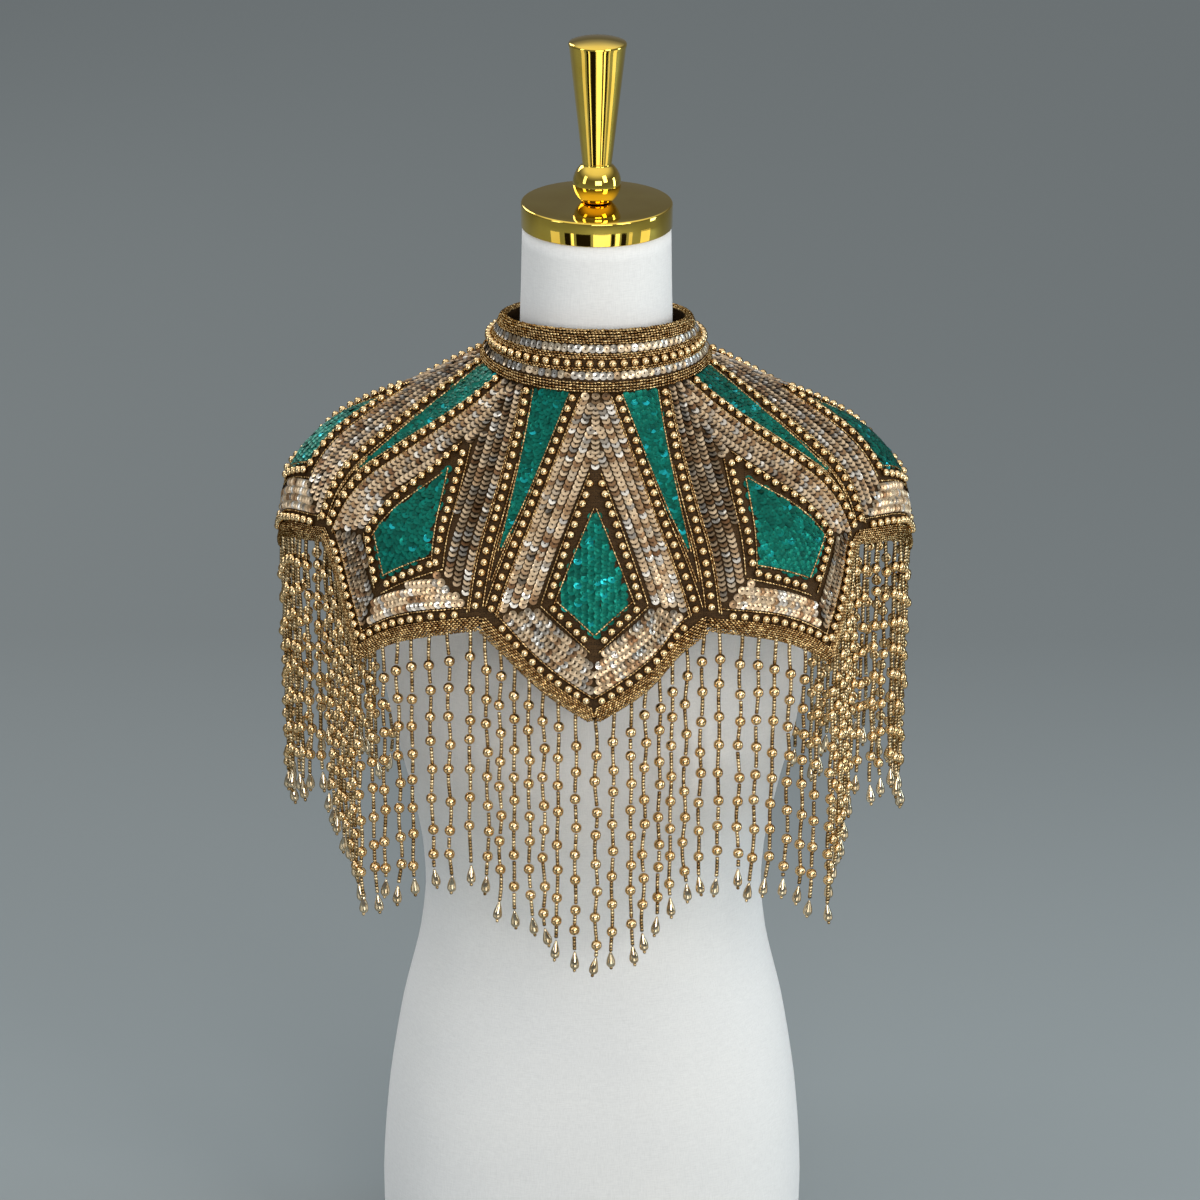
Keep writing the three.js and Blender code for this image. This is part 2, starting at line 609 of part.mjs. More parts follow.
const stripEnd = HEM_LENGTH - STRIP.end;
const slitSide = 1.5 * BACK_SLIT; // the strips' ends at the centre back
const FRINGES = [
  { name: "back_left", petal: -3, from: -stripEnd, to: stripEnd },
  { name: "side_left", petal: -2, from: -stripEnd, to: stripEnd },
  { name: "front_left", petal: -1, from: -stripEnd, to: stripEnd },
  { name: "front", petal: 0, from: -stripEnd, to: stripEnd },
  { name: "front_right", petal: 1, from: -stripEnd, to: stripEnd },
  { name: "side_right", petal: 2, from: -stripEnd, to: stripEnd },
  { name: "back_right", petal: 3, from: -stripEnd, to: stripEnd },
  { name: "centre_back_right", petal: BACK, from: -stripEnd, to: -slitSide },
  { name: "centre_back_left", petal: BACK, from: slitSide, to: stripEnd },
];
for (const { name, petal, from, to } of FRINGES) {
  add(`fringe_${name}`, fringeGeometry(petal, from, to), FINISH.fringe());
}

export default group;
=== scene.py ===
"""A beaded capelet on a limbless dress form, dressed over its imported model.

The file follows the work as it is put together: the studio, the form with its cap and finial,
the tulle yoke and collar, what is sewn on them, and the fringe. Shapes are worked out in
millimetres and go into their meshes in metres.
"""

import bpy
import numpy as np
from mathutils import Matrix, Vector


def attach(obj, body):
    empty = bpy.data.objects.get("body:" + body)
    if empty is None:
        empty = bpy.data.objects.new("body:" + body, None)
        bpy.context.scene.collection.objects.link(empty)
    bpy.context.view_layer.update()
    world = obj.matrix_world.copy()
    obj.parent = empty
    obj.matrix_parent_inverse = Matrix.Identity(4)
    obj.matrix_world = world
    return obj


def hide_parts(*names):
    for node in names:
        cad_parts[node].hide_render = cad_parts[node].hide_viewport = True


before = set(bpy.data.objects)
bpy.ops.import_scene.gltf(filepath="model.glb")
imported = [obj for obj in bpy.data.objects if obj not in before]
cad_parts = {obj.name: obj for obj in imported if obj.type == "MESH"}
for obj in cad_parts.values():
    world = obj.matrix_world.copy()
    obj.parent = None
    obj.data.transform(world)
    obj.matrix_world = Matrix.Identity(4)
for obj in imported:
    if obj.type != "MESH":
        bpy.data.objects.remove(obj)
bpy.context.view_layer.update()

# ---- the studio ------------------------------------------------------------------------------
# A grey floor, five lamps round the form, cards on the floor for the gold to reflect, and a camera
# that looks a little down on the cape from the front.
CAMERA_PLACE = (0.0039, -2.806, 1.750)
CAMERA_DOWN, CAMERA_ROLL = 22.58, 0.324  # degrees
CAMERA_LENS, SENSOR = 121.26, 36.0  # millimetres
FARTHEST_SEEN = 200  # metres

camera_data = bpy.data.cameras.new("camera")
camera_data.lens, camera_data.sensor_width = CAMERA_LENS, SENSOR
camera_data.clip_end = FARTHEST_SEEN
camera = bpy.data.objects.new("camera", camera_data)
looking = Matrix.Rotation(np.radians(90 - CAMERA_DOWN), 4, "X")
rolled = Matrix.Rotation(np.radians(CAMERA_ROLL), 4, "Z")
camera.matrix_world = Matrix.Translation(CAMERA_PLACE) @ looking @ rolled
bpy.context.scene.collection.objects.link(camera)
bpy.context.scene.camera = camera
bpy.context.scene.view_settings.view_transform = "Standard"

LAMPS = [
    # name, place and target in metres, width, height, power in watts, colour
    ("window", (2.0, -2.1, 2.3), (0, 0, 0.62), 1.0, 1.7, 34, (1.0, 0.975, 0.93)),
    ("front", (0.5, -3.6, 1.6), (0, 0, 0.55), 2.0, 1.3, 50, (1.0, 0.98, 0.94)),
    ("left", (-2.4, -1.2, 1.7), (0, 0, 0.6), 0.7, 1.6, 11, (0.86, 0.93, 1.0)),
    ("behind_left", (-1.8, 2.4, 2.3), (0, 0, 0.7), 1.4, 1.4, 30, (1.0, 0.98, 0.95)),
    ("right", (2.5, 0.1, 0.9), (0, 0, 0.35), 0.5, 1.3, 14, (0.66, 0.85, 1.0)),
]
for name, place, target, width, height, power, colour in LAMPS:
    lamp_data = bpy.data.lights.new(name, "AREA")
    lamp_data.shape, lamp_data.size, lamp_data.size_y = "RECTANGLE", width, height
    lamp_data.energy, lamp_data.color = power, colour
    lamp = bpy.data.objects.new(name, lamp_data)
    aimed = (Vector(target) - Vector(place)).to_track_quat("-Z", "Y")
    lamp.matrix_world = Matrix.Translation(place) @ aimed.to_matrix().to_4x4()
    bpy.context.scene.collection.objects.link(lamp)


def add_node(tree, kind, inputs=None, **settings):
    """A node of a kind, with its settings, and its inputs set to numbers or linked to outputs."""
    node = tree.nodes.new("ShaderNode" + kind)
    for key, value in settings.items():
        setattr(node, key, value)
    for key, value in (inputs or {}).items():
        if isinstance(value, bpy.types.NodeSocket):
            tree.links.new(value, node.inputs[key])
        else:
            node.inputs[key].default_value = value
    return node


def add_ramp(tree, factor, stops):
    """A colour ramp through (place, (r, g, b)) stops, driven by an output."""
    ramp = add_node(tree, "ValToRGB", {"Fac": factor})
    elements = ramp.color_ramp.elements
    while len(elements) < len(stops):
        elements.new(0.5)
    for element, (place, colour) in zip(elements, stops):
        element.position, element.color = place, (*colour, 1)
    return ramp.outputs["Color"]


def new_finish(name, **sockets):
    """A material with a Principled shader whose plain sockets are set; returns it, its tree and shader."""
    material = bpy.data.materials.new(name)
    material.use_nodes = True
    tree = material.node_tree
    shader = tree.nodes["Principled BSDF"]
    for key, value in sockets.items():
        socket = shader.inputs[key.replace("_", " ")]
        socket.default_value = (*value, 1) if isinstance(value, tuple) else value
    return material, tree, shader


def object_place(tree):
    """The place on a piece, in metres."""
    return add_node(tree, "TexCoord").outputs["Object"]


def add_noise(tree, place, scale, detail=2.0):
    """Soft noise about 0.5, with patches about one part in scale of a metre wide."""
    return add_node(tree, "TexNoise", {"Vector": place, "Scale": scale, "Detail": detail}).outputs["Fac"]


def stored(tree, name):
    """A number that the mesh holds at each point."""
    return add_node(tree, "Attribute", attribute_name=name).outputs["Fac"]


def rescaled(tree, value, low, high, new_low, new_high):
    """A number that runs from new_low to new_high while value runs from low to high."""
    spans = {"Value": value, "From Min": low, "From Max": high, "To Min": new_low, "To Max": new_high}
    return add_node(tree, "MapRange", spans).outputs["Result"]


def tinted(tree, colour, tint):
    """A colour multiplied by another."""
    both = {"Fac": 1.0, "Color1": colour, "Color2": tint}
    return add_node(tree, "MixRGB", both, blend_type="MULTIPLY").outputs[0]


def add_relief(tree, shader, height, distance, strength, **settings):
    """Relief on a finish, as deep as a pattern's height times a distance in metres."""
    bump = add_node(tree, "Bump", {"Strength": strength, "Distance": distance, "Height": height}, **settings)
    tree.links.new(bump.outputs["Normal"], shader.inputs["Normal"])


world = bpy.data.worlds.new("studio")
world.use_nodes = True
bpy.context.scene.world = world
sky = world.node_tree
direction = add_node(sky, "TexCoord").outputs["Generated"]
upward = add_node(sky, "SeparateXYZ", {"Vector": direction}).outputs["Z"]
SKY_TONES = [
    # share of the way from straight down to straight up, colour
    (0.0, (0.04, 0.042, 0.045)), (0.42, (0.07, 0.074, 0.08)), (0.5, (0.17, 0.175, 0.19)),
    (0.68, (0.13, 0.135, 0.14)), (0.76, (0.34, 0.35, 0.37)), (0.88, (1.0, 1.0, 1.0)),
    (1.0, (1.15, 1.15, 1.15)),
]
sky_colour = add_ramp(sky, rescaled(sky, upward, -1.0, 1.0, 0.0, 1.0), SKY_TONES)
sky.links.new(sky_colour, sky.nodes["Background"].inputs["Color"])
sky.nodes["Background"].inputs["Strength"].default_value = 1.0

FLOOR_REACH = 40  # metres
FLOOR_SHOWN = 5.0  # metres behind the form over which the tone changes
FLOOR_TONES = [
    # share of that distance, colour: pale near the form, a darker wall colour behind it
    (0.06, (0.221, 0.254, 0.264)), (0.26, (0.144, 0.165, 0.171)),
    (0.45, (0.141, 0.162, 0.168)), (0.85, (0.156, 0.179, 0.185)),
]
floor_mesh = bpy.data.meshes.new("floor")
corners = [(-FLOOR_REACH, -FLOOR_REACH, 0), (FLOOR_REACH, -FLOOR_REACH, 0),
           (FLOOR_REACH, FLOOR_REACH, 0), (-FLOOR_REACH, FLOOR_REACH, 0)]
floor_mesh.from_pydata(corners, [], [(0, 1, 2, 3)])
floor = bpy.data.objects.new("floor", floor_mesh)
bpy.context.scene.collection.objects.link(floor)
floor_paint, tree, shader = new_finish("floor", Roughness=0.85)
behind = add_node(tree, "SeparateXYZ", {"Vector": object_place(tree)}).outputs["Y"]
floor_tone = add_ramp(tree, rescaled(tree, behind, 0.0, FLOOR_SHOWN, 0.0, 1.0), FLOOR_TONES)
tree.links.new(floor_tone, shader.inputs["Base Color"])
floor_mesh.materials.append(floor_paint)

# Cards lie on the floor in front: glowing ones that stand in for lamps, and black ones. They show
# only in reflections: as upright streaks and patches in the gold and, from behind, as a sheen on the floor.
CARDS = [
    # bearing from the front and width in degrees, brightness
    (-66, 16, 0.9), (-45, 9, 0.0), (-37, 4, 2.2), (-20, 22, 0.0), (8, 26, 2.0), (25, 5, 0.0),
    (32, 6, 2.4), (42, 8, 0.0), (53, 6, 1.0), (80, 18, 1.3),
]
CARD_NEAR, CARD_FAR, CARD_HEIGHT = 0.7, 2.7, 0.004  # metres
for bearing, width, brightness in CARDS:
    sides = np.radians(bearing + width / 2 * np.array([-1, 1, 1, -1]))
    reach = np.array([CARD_NEAR, CARD_NEAR, CARD_FAR, CARD_FAR])
    card_mesh = bpy.data.meshes.new("card")
    card_points = np.stack([reach * np.sin(sides), -reach * np.cos(sides), np.full(4, CARD_HEIGHT)], -1)
    card_mesh.from_pydata(card_points.tolist(), [], [(0, 3, 2, 1)])
    glowing_card = new_finish("card", Base_Color=(0.01, 0.008, 0.006), Roughness=1.0, Specular_IOR_Level=0.0,
                            Emission_Color=(1.0, 0.97, 0.90), Emission_Strength=brightness)[0]
    card_mesh.materials.append(glowing_card)
    card = bpy.data.objects.new("card", card_mesh)
    bpy.context.scene.collection.objects.link(card)
    card.visible_camera = card.visible_diffuse = card.visible_shadow = False

# ---- the dress form --------------------------------------------------------------------------
# A foam body under a fine white linen cover, drawn tight with no seam in sight. Its outline runs
# smoothly through level sections; a bust swells softly in front.
SEAM_Z = 778  # where the collar joins the yoke
FORM_SECTIONS = np.array([
    # below the seam, half width, depth in front, depth behind, squareness
    (778, 154, 97, 109, 2.2), (772, 160, 103, 115, 2.2), (740, 164, 106, 119, 2.2),
    (681, 165.6, 108, 121, 2.2), (600, 159.4, 106, 115, 2.2), (530, 148, 100, 101, 2.15),
    (470, 134, 95, 88, 2.1), (430, 129.5, 93, 83, 2.1), (390, 131.5, 97, 84, 2.1),
    (338, 141.5, 106, 90, 2.1), (285, 154, 112, 97, 2.1), (240, 161, 110, 101, 2.1),
    (200, 165, 105, 102, 2.1), (165, 172, 99, 101, 2.1), (130, 181, 93, 97, 2.15),
    (100, 188, 87, 91, 2.1), (75, 187, 81, 84, 1.95), (55, 180, 76, 78, 1.8),
    (43.2, 167, 72, 74, 1.7), (33.7, 148, 69, 71, 1.6), (23.2, 126.5, 66, 68, 1.6),
    (15, 103, 63, 66, 1.7), (8, 76, 60, 62, 1.9), (0, 61, 58, 59, 2), (-12, 57, 57, 57, 2),
    (-40, 55.5, 55.5, 55.5, 2), (-99.2, 54, 54, 54, 2),
])
BUST_ACROSS, BUST_BELOW, BUST_RISE, BUST_WIDTH, BUST_HEIGHT = 78, 285, 16, 46, 55  # a bell on each side
FORM_COLUMNS, FORM_STEPS = 168, 5  # round the form, and between two sections
SMOOTHING = 0.75  # share of a full curve between two sections


def mesh_piece(name, points, faces, material, sharp=None, values=None, uv=None):
    """An object whose mesh holds points (n, 3) in millimetres and arrays of faces with as many
    corners as columns. values are numbers at each point, uv a pair at each; sharp marks points
    whose joining edges stay crisp."""
    mesh = bpy.data.meshes.new(name)
    corners = np.concatenate([f.ravel() for f in faces]).astype(np.int32)
    sizes = np.concatenate([np.full(len(f), f.shape[1]) for f in faces])
    mesh.vertices.add(len(points))
    mesh.vertices.foreach_set("co", (np.asarray(points) * 0.001).astype(np.float32).ravel())
    mesh.loops.add(len(corners))
    mesh.loops.foreach_set("vertex_index", corners)
    mesh.polygons.add(len(sizes))
    mesh.polygons.foreach_set("loop_start", (np.cumsum(sizes) - sizes).astype(np.int32))
    mesh.polygons.foreach_set("use_smooth", np.ones(len(sizes), bool))
    mesh.update(calc_edges=True)
    for key, value in (values or {}).items():
        mesh.attributes.new(key, "FLOAT", "POINT").data.foreach_set("value", value.astype(np.float32))
    if uv is not None:
        mesh.uv_layers.new(name="UVMap").data.foreach_set("uv", uv[corners].astype(np.float32).ravel())
    if sharp is not None:
        ends = np.zeros(len(mesh.edges) * 2, np.int32)
        mesh.edges.foreach_get("vertices", ends)
        crisp = sharp[ends.reshape(-1, 2)].all(axis=1)
        mesh.attributes.new("sharp_edge", "BOOLEAN", "EDGE").data.foreach_set("value", crisp)
    mesh.materials.append(material)
    piece = bpy.data.objects.new(name, mesh)
    bpy.context.scene.collection.objects.link(piece)
    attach(piece, "root")
    return piece


def tube_faces(rings, columns, close_round=True):
    """Quads between rings of points that lie one after another. They face outward where each ring
    runs anticlockwise and the rings rise."""
    gaps = columns if close_round else columns - 1
    ring, column = np.meshgrid(np.arange(rings - 1), np.arange(gaps), indexing="ij")
    here = ring * columns + column
    beside = ring * columns + (column + 1) % columns
    return np.stack([here, beside, beside + columns, here + columns], -1).reshape(-1, 4)


def fan_faces(centre, first, columns, outward_up):
    """Triangles from a centre point to a ring of points."""
    here = first + np.arange(columns)
    beside = first + (np.arange(columns) + 1) % columns
    middle = np.full(columns, centre)
    return np.stack([here, beside, middle] if outward_up else [beside, here, middle], -1)


def closed_body(rings, low, high):
    """Points and faces of a body of rings (rings, columns, 3) that rise, closed by triangles to a
    point low and one high."""
    n, columns = rings.shape[:2]
    foot = fan_faces(n * columns, 0, columns, False)
    head = fan_faces(n * columns + 1, (n - 1) * columns, columns, True)
    return np.vstack([rings.reshape(-1, 3), low, high]), [tube_faces(n, columns), np.vstack([foot, head])]


def wall_faces(rows, columns, rows_rise):
    """Faces of a thin wall: a grid of outer points, then one of inner points, joined all round by
    a rim. rows_rise tells whether the rows run up the wall or down it."""
    n = rows * columns
    skin = tube_faces(rows, columns, close_round=False)
    ring = np.concatenate([
        np.arange(columns), columns * np.arange(1, rows) + columns - 1,
        columns * (rows - 1) + np.arange(columns - 2, -1, -1), columns * np.arange(rows - 2, 0, -1),
    ])
    following = np.roll(ring, -1)
    rim = np.stack([ring, following, following + n, ring + n], -1)
    if rows_rise:
        return [skin, skin[:, ::-1] + n, rim[:, [1, 0, 3, 2]]]
    return [skin[:, ::-1], skin + n, rim]


def smooth_rows(rows, steps):
    """Rows of numbers with a curve through them, most of the way from straight lines to cubics
    whose slope at a row is that of the parabola through it and its neighbours. It runs along the
    first column."""
    along = rows[:, 0]
    slope = np.gradient(rows, along, axis=0)
    i = np.repeat(np.arange(len(rows) - 1), steps)
    t = np.tile(np.arange(steps) / steps, len(rows) - 1)[:, None]
    span = (along[i + 1] - along[i])[:, None]
    straight = rows[i] + (rows[i + 1] - rows[i]) * t
    bow = t * (1 - t) * ((1 - t) * (slope[i] * span - rows[i + 1] + rows[i])
                         - t * (slope[i + 1] * span - rows[i + 1] + rows[i]))
    return np.vstack([straight + SMOOTHING * bow, rows[-1:]])


sections = smooth_rows(FORM_SECTIONS, FORM_STEPS)
below, half, front, back, square = (column[:, None] for column in sections.T)
turn = np.linspace(0, 2 * np.pi, FORM_COLUMNS, endpoint=False)[None, :]
bend = 2 / square
form_x = half * np.sign(np.cos(turn)) * np.abs(np.cos(turn)) ** bend
sine = np.sign(np.sin(turn)) * np.abs(np.sin(turn)) ** bend
across = (np.abs(form_x) - BUST_ACROSS) / BUST_WIDTH
bust = BUST_RISE * np.maximum(-sine, 0) * np.exp(-across**2 - ((below - BUST_BELOW) / BUST_HEIGHT) ** 2)
form_y = sine * np.where(sine < 0, front, back) - bust
form_z = np.broadcast_to(SEAM_Z - below, form_x.shape)
form_rings = np.stack([form_x, form_y, form_z], -1)
form_body = closed_body(form_rings, [0, 0, form_z[0, 0]], [0, 0, form_z[-1, 0]])

linen, tree, shader = new_finish("linen", Roughness=0.86, Sheen_Weight=0.25, Sheen_Roughness=0.5)
place = object_place(tree)
# Warp threads run up the form and weft threads round it, half a millimetre apart, each of
# uneven thickness; the cover is a shade greyer where threads are thin.
THREADS_PER_METRE, WEFT_SLUBS_PER_METRE, WARP_SLUBS_PER_METRE = 2100, 170, 150
LINEN_THREADS = [(0.35, (0.775, 0.77, 0.755)), (0.62, (0.87, 0.865, 0.845))]
LINEN_CLOUDS = [(0.3, (0.93, 0.94, 0.955)), (0.7, (1.0, 1.0, 0.995))]


def thread_layer(tree, place, stretch):
    """Noise drawn out along one direction: the slubs of one set of threads."""
    drawn = add_node(tree, "Mapping", {"Vector": place, "Scale": stretch}).outputs["Vector"]
    return add_noise(tree, drawn, 1.0)


weft = thread_layer(tree, place, (WEFT_SLUBS_PER_METRE, WEFT_SLUBS_PER_METRE, THREADS_PER_METRE))
warp = thread_layer(tree, place, (THREADS_PER_METRE, THREADS_PER_METRE, WARP_SLUBS_PER_METRE))
cloth = add_node(tree, "Math", {0: weft, 1: warp}, operation="ADD").outputs[0]
thickness = add_node(tree, "Math", {0: cloth, 1: 0.5}, operation="MULTIPLY").outputs[0]
clouds = add_ramp(tree, add_noise(tree, place, 5.0, 3.0), LINEN_CLOUDS)
tree.links.new(tinted(tree, add_ramp(tree, thickness, LINEN_THREADS), clouds), shader.inputs["Base Color"])
add_relief(tree, shader, cloth, distance=0.0003, strength=0.2)

form_cover = mesh_piece("form_cover", *form_body, linen)
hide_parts("dress_form")

# ---- neck cap and finial ---------------------------------------------------------------------
# The form's neck ends in a spun brass cap, gold plated and polished, with a turned finial of a
# ball and a flaring cone that serves as a handle.
CAP_TOP, CAP_HEIGHT, CAP_RADIUS, CAP_EDGE = 895, 17.5, 55, 1.5
FINIAL_BALL, FINIAL_BALL_HEIGHT, FINIAL_WAIST, FINIAL_WAIST_HEIGHT = 17.5, 14, 10.8, 28
FINIAL_TOP, FINIAL_TOP_HEIGHT, FINIAL_FULL, FINIAL_FOOT = 21, 118, 121, 895.3
CAP_FOOT_EDGE, CAP_UNDER_RING, CAP_TOP_RINGS = 0.6, 43, (33, 22)  # rings on the cap's flat faces
CONE_FOOT, CONE_HEAD, CONE_SHORT = 29.5, 113.5, 0.6  # the cone's height range, and how much slimmer it ends
CONE_SHARES, CROWN_SHARES = np.array([0.02, 0.25, 0.5, 0.75, 1]), np.array([0.9, 0.75, 0.55, 0.35, 0.15, 0])
FINIAL_EDGE, CROWN_RISE, CROWN_POWER = 2.0, 0.93, 2.2
FINIAL_UNDER_RING, BALL_SUNK, WAIST_FILLET = 8, 0.2, [(-0.2, 0.4), (0.0, 1.2)]
TURNED_COLUMNS = 96


def arc(radius, x, z, start, end, steps):
    """Points (steps + 1, 2) on an arc about (x, z), from one angle to another in degrees."""
    angle = np.radians(np.linspace(start, end, steps + 1))
    return np.stack([x + radius * np.cos(angle), z + radius * np.sin(angle)], -1)


def turned(profile, base):
    """A closed body of revolution about the upright axis: each profile point (radius, height)
    sweeps a ring; the first and last lie on the axis."""
    turn = np.linspace(0, 2 * np.pi, TURNED_COLUMNS, endpoint=False)
    radius, height = profile[1:-1, 0][:, None], profile[1:-1, 1][:, None]
    rings = np.stack([radius * np.cos(turn), radius * np.sin(turn), height + 0 * turn + base], -1)
    return closed_body(rings, [0, 0, profile[0, 1] + base], [0, 0, profile[-1, 1] + base])


gold, tree, shader = new_finish("polished_gold", Metallic=1.0, Coat_Weight=0.15, Coat_Roughness=0.04)
place = object_place(tree)
# Fine turning marks run round the pieces, and handling has clouded the polish in places.
drawn_round = add_node(tree, "Mapping", {"Vector": place, "Scale": (8, 8, 900)}).outputs["Vector"]
haze = add_noise(tree, place, 45.0, 4.0)
tree.links.new(rescaled(tree, haze, 0.35, 0.75, 0.02, 0.07), shader.inputs["Roughness"])
plate = add_ramp(tree, haze, [(0.3, (0.80, 0.54, 0.075)), (0.7, (0.88, 0.63, 0.11))])
tree.links.new(plate, shader.inputs["Base Color"])
add_relief(tree, shader, add_noise(tree, drawn_round, 1.0, 3.0), distance=0.0002, strength=0.05)

cap_profile = np.vstack([
    [(0, 0), (CAP_UNDER_RING, 0)],
    arc(CAP_FOOT_EDGE, CAP_RADIUS - CAP_FOOT_EDGE, CAP_FOOT_EDGE, -90, 0, 4),
    arc(CAP_EDGE, CAP_RADIUS - CAP_EDGE, CAP_HEIGHT - CAP_EDGE, 0, 90, 7),
    [(radius, CAP_HEIGHT) for radius in (*CAP_TOP_RINGS, 0)],
])
neck_cap = mesh_piece("cap_polished", *turned(cap_profile, CAP_TOP - CAP_HEIGHT), gold)
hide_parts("neck_cap")

ball_foot = -np.degrees(np.arcsin((FINIAL_BALL_HEIGHT - BALL_SUNK) / FINIAL_BALL))
ball_neck = np.degrees(np.arccos(FINIAL_WAIST / FINIAL_BALL))
cone_radius = FINIAL_WAIST + (FINIAL_TOP - CONE_SHORT - FINIAL_WAIST) * CONE_SHARES
crown_height = FINIAL_FULL - (FINIAL_FULL - FINIAL_TOP_HEIGHT) * CROWN_RISE * CROWN_SHARES**CROWN_POWER
finial_profile = np.vstack([
    [(0, 0), (FINIAL_UNDER_RING, 0)],
    arc(FINIAL_BALL, 0, FINIAL_BALL_HEIGHT, ball_foot, ball_neck, 26),
    np.array([FINIAL_WAIST, FINIAL_WAIST_HEIGHT]) + WAIST_FILLET,
    np.stack([cone_radius, CONE_FOOT + (CONE_HEAD - CONE_FOOT) * CONE_SHARES], -1),
    arc(FINIAL_EDGE, FINIAL_TOP - FINIAL_EDGE, FINIAL_TOP_HEIGHT - FINIAL_EDGE, -8, 66, 7),
    np.stack([(FINIAL_TOP - FINIAL_EDGE) * CROWN_SHARES, crown_height], -1),
])
finial = mesh_piece("finial_polished", *turned(finial_profile, FINIAL_FOOT), gold)
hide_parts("finial")

# ---- the tulle yoke --------------------------------------------------------------------------
# Brown tulle cut as a ring of eight pointed petals: five in the front piece, one and a half in
# each back piece, open at the centre back. Everything else is sewn on it. It lies on the
# shoulders and falls steeply in front and behind, with a few soft folds.
NECK_CUT, HALF_CUT, HALF_TURN = 114, 0.281, np.pi / 8  # the flat ring's neck, a half petal flat and worn
VALLEY, POINT, SEAM_RADIUS = 178, 236, 82
SLOPE_AT = np.array([0, 60, 110, 155, 200])  # distances from the neck edge
HEADING = np.array([0.0, 37, 60, 75, 90])  # degrees, at each eighth of a half turn from the front
SLOPES = np.array([
    # degrees below level: a row at each of those bearings, a column at each distance
    [61.0, 60, 68, 74, 75], [66, 60, 55, 68, 73], [55, 45, 38, 66, 71],
    [38, 33, 36, 69, 77], [24, 24, 27, 52, 86],
])
FOLDS = [
    # bearing, depth, width in degrees
    (17, -7, 5), (29, 4, 7), (-31, 6, 8), (-17, -3, 6), (64, -4, 7),
    (-72, 4, 8), (118, 4, 8), (-109, -4, 7), (154, -5, 7), (-160, 5, 8),
]
SWELL = 7  # how far the hem at the centre front and back bows out between notch and point
ARCH = -4  # and the hem of the petals beside the front one, on their inner halves
TULLE, TULLE_UNDER = 0.9, 0.1  # its wall, and how far its face lies under what is sewn on it
PETAL_WIDTH = 170
PETAL_COLUMNS, YOKE_ROWS, PATH_STEPS = 24, 44, 24


def quarter_curve(values, place, odd_start, odd_end):
    """A smooth curve through values a step apart, mirrored past both ends (turned over if odd)."""
    first = -values[1] if odd_start else values[1]
    last = 2 * values[-1] - values[-2] if odd_end else values[-2]
    padded = np.concatenate([[first], values, [last]])
    i = np.clip(np.floor(place).astype(int), 0, len(values) - 2)
    t = (place - i).reshape(place.shape + (1,) * (values.ndim - 1))
    a, b, c, d = padded[i], padded[i + 1], padded[i + 2], padded[i + 3]
    return b + 0.5 * t * (c - a + t * (2 * a - 5 * b + 4 * c - d + t * (3 * (b - c) + d - a)))


def cloth_point(bearing, distance):
    """The cloth's face at a bearing from the front and a distance from the neck edge: the sum of
    short steps that go down by the sine and out by the cosine of the slope at each, and the folds."""
    bearing, distance = np.broadcast_arrays(bearing, distance)
    sine, cosine = np.sin(bearing), np.cos(bearing)
    place = np.arctan2(np.abs(sine), np.abs(cosine)) / HALF_TURN
    slopes = quarter_curve(SLOPES, place, False, False)
    heading = np.radians(quarter_curve(HEADING, place, True, True))
    out, down = np.zeros(bearing.shape), np.zeros(bearing.shape)
    for step in range(PATH_STEPS):
        at = np.maximum(distance * (step + 0.5) / PATH_STEPS, 0)
        j = np.clip(np.searchsorted(SLOPE_AT, at) - 1, 0, len(SLOPE_AT) - 2)
        t = np.clip((at - SLOPE_AT[j]) / (SLOPE_AT[j + 1] - SLOPE_AT[j]), 0, 1)
        low = np.take_along_axis(slopes, j[..., None], -1)[..., 0]
        high = np.take_along_axis(slopes, j[..., None] + 1, -1)[..., 0]
        slope = np.radians(low + (high - low) * t)
        out += np.cos(slope) * distance / PATH_STEPS
        down += np.sin(slope) * distance / PATH_STEPS
    for at, depth, width in FOLDS:
        away = (bearing - np.radians(at) + np.pi) % (2 * np.pi) - np.pi
        out += depth * np.exp(-((away / np.radians(width)) ** 2)) * (np.maximum(distance, 0) / VALLEY) ** 1.5
    side, behind = np.where(sine < 0, -1, 1), np.where(cosine < 0, 1, -1)
    x = SEAM_RADIUS * sine + side * out * np.sin(heading)
    y = behind * out * np.cos(heading) - SEAM_RADIUS * cosine
    return np.stack([x, y, SEAM_Z - down], -1)


def petal_face(petal, x, y):
    """The cloth's face at a point of a petal's flat cut: x across from its centre line, y down from
    its neck edge."""
    bearing = 2 * petal * HALF_TURN + np.arctan2(x, y + NECK_CUT) * HALF_TURN / HALF_CUT
    return cloth_point(bearing, np.hypot(x, y + NECK_CUT) - NECK_CUT)


def unit(vector):
    """A vector shortened or drawn out to a length of one."""
    return vector / np.linalg.norm(vector, axis=-1, keepdims=True)


def on_petal(petal, x, y, height, run_x=0.0, run_y=1.0):
    """Points at a height over a petal and, at each, three directions: across a run in the flat
    cut, along it, and away from the cloth."""
    given = (petal, x, y, height, run_x, run_y)
    petal, x, y, height, run_x, run_y = np.broadcast_arrays(*(np.asarray(v, float) for v in given))
    across = petal_face(petal, x + 1, y) - petal_face(petal, x - 1, y)
    down = petal_face(petal, x, y + 1) - petal_face(petal, x, y - 1)
    away = unit(np.cross(down, across))
    along = unit(across * run_x[..., None] + down * run_y[..., None])
    point = petal_face(petal, x, y) + height[..., None] * away
    return point, np.stack([np.cross(along, away), along, away], -2)


SIDE = np.array([np.sin(HALF_CUT), np.cos(HALF_CUT)])  # the run of a petal's right side, neck to notch
CORNER = (NECK_CUT + VALLEY) * SIDE - [0, NECK_CUT]
HEM_LENGTH = np.hypot(CORNER[0], POINT - CORNER[1])
HEM_X, HEM_Y = CORNER[0] / HEM_LENGTH, (POINT - CORNER[1]) / HEM_LENGTH


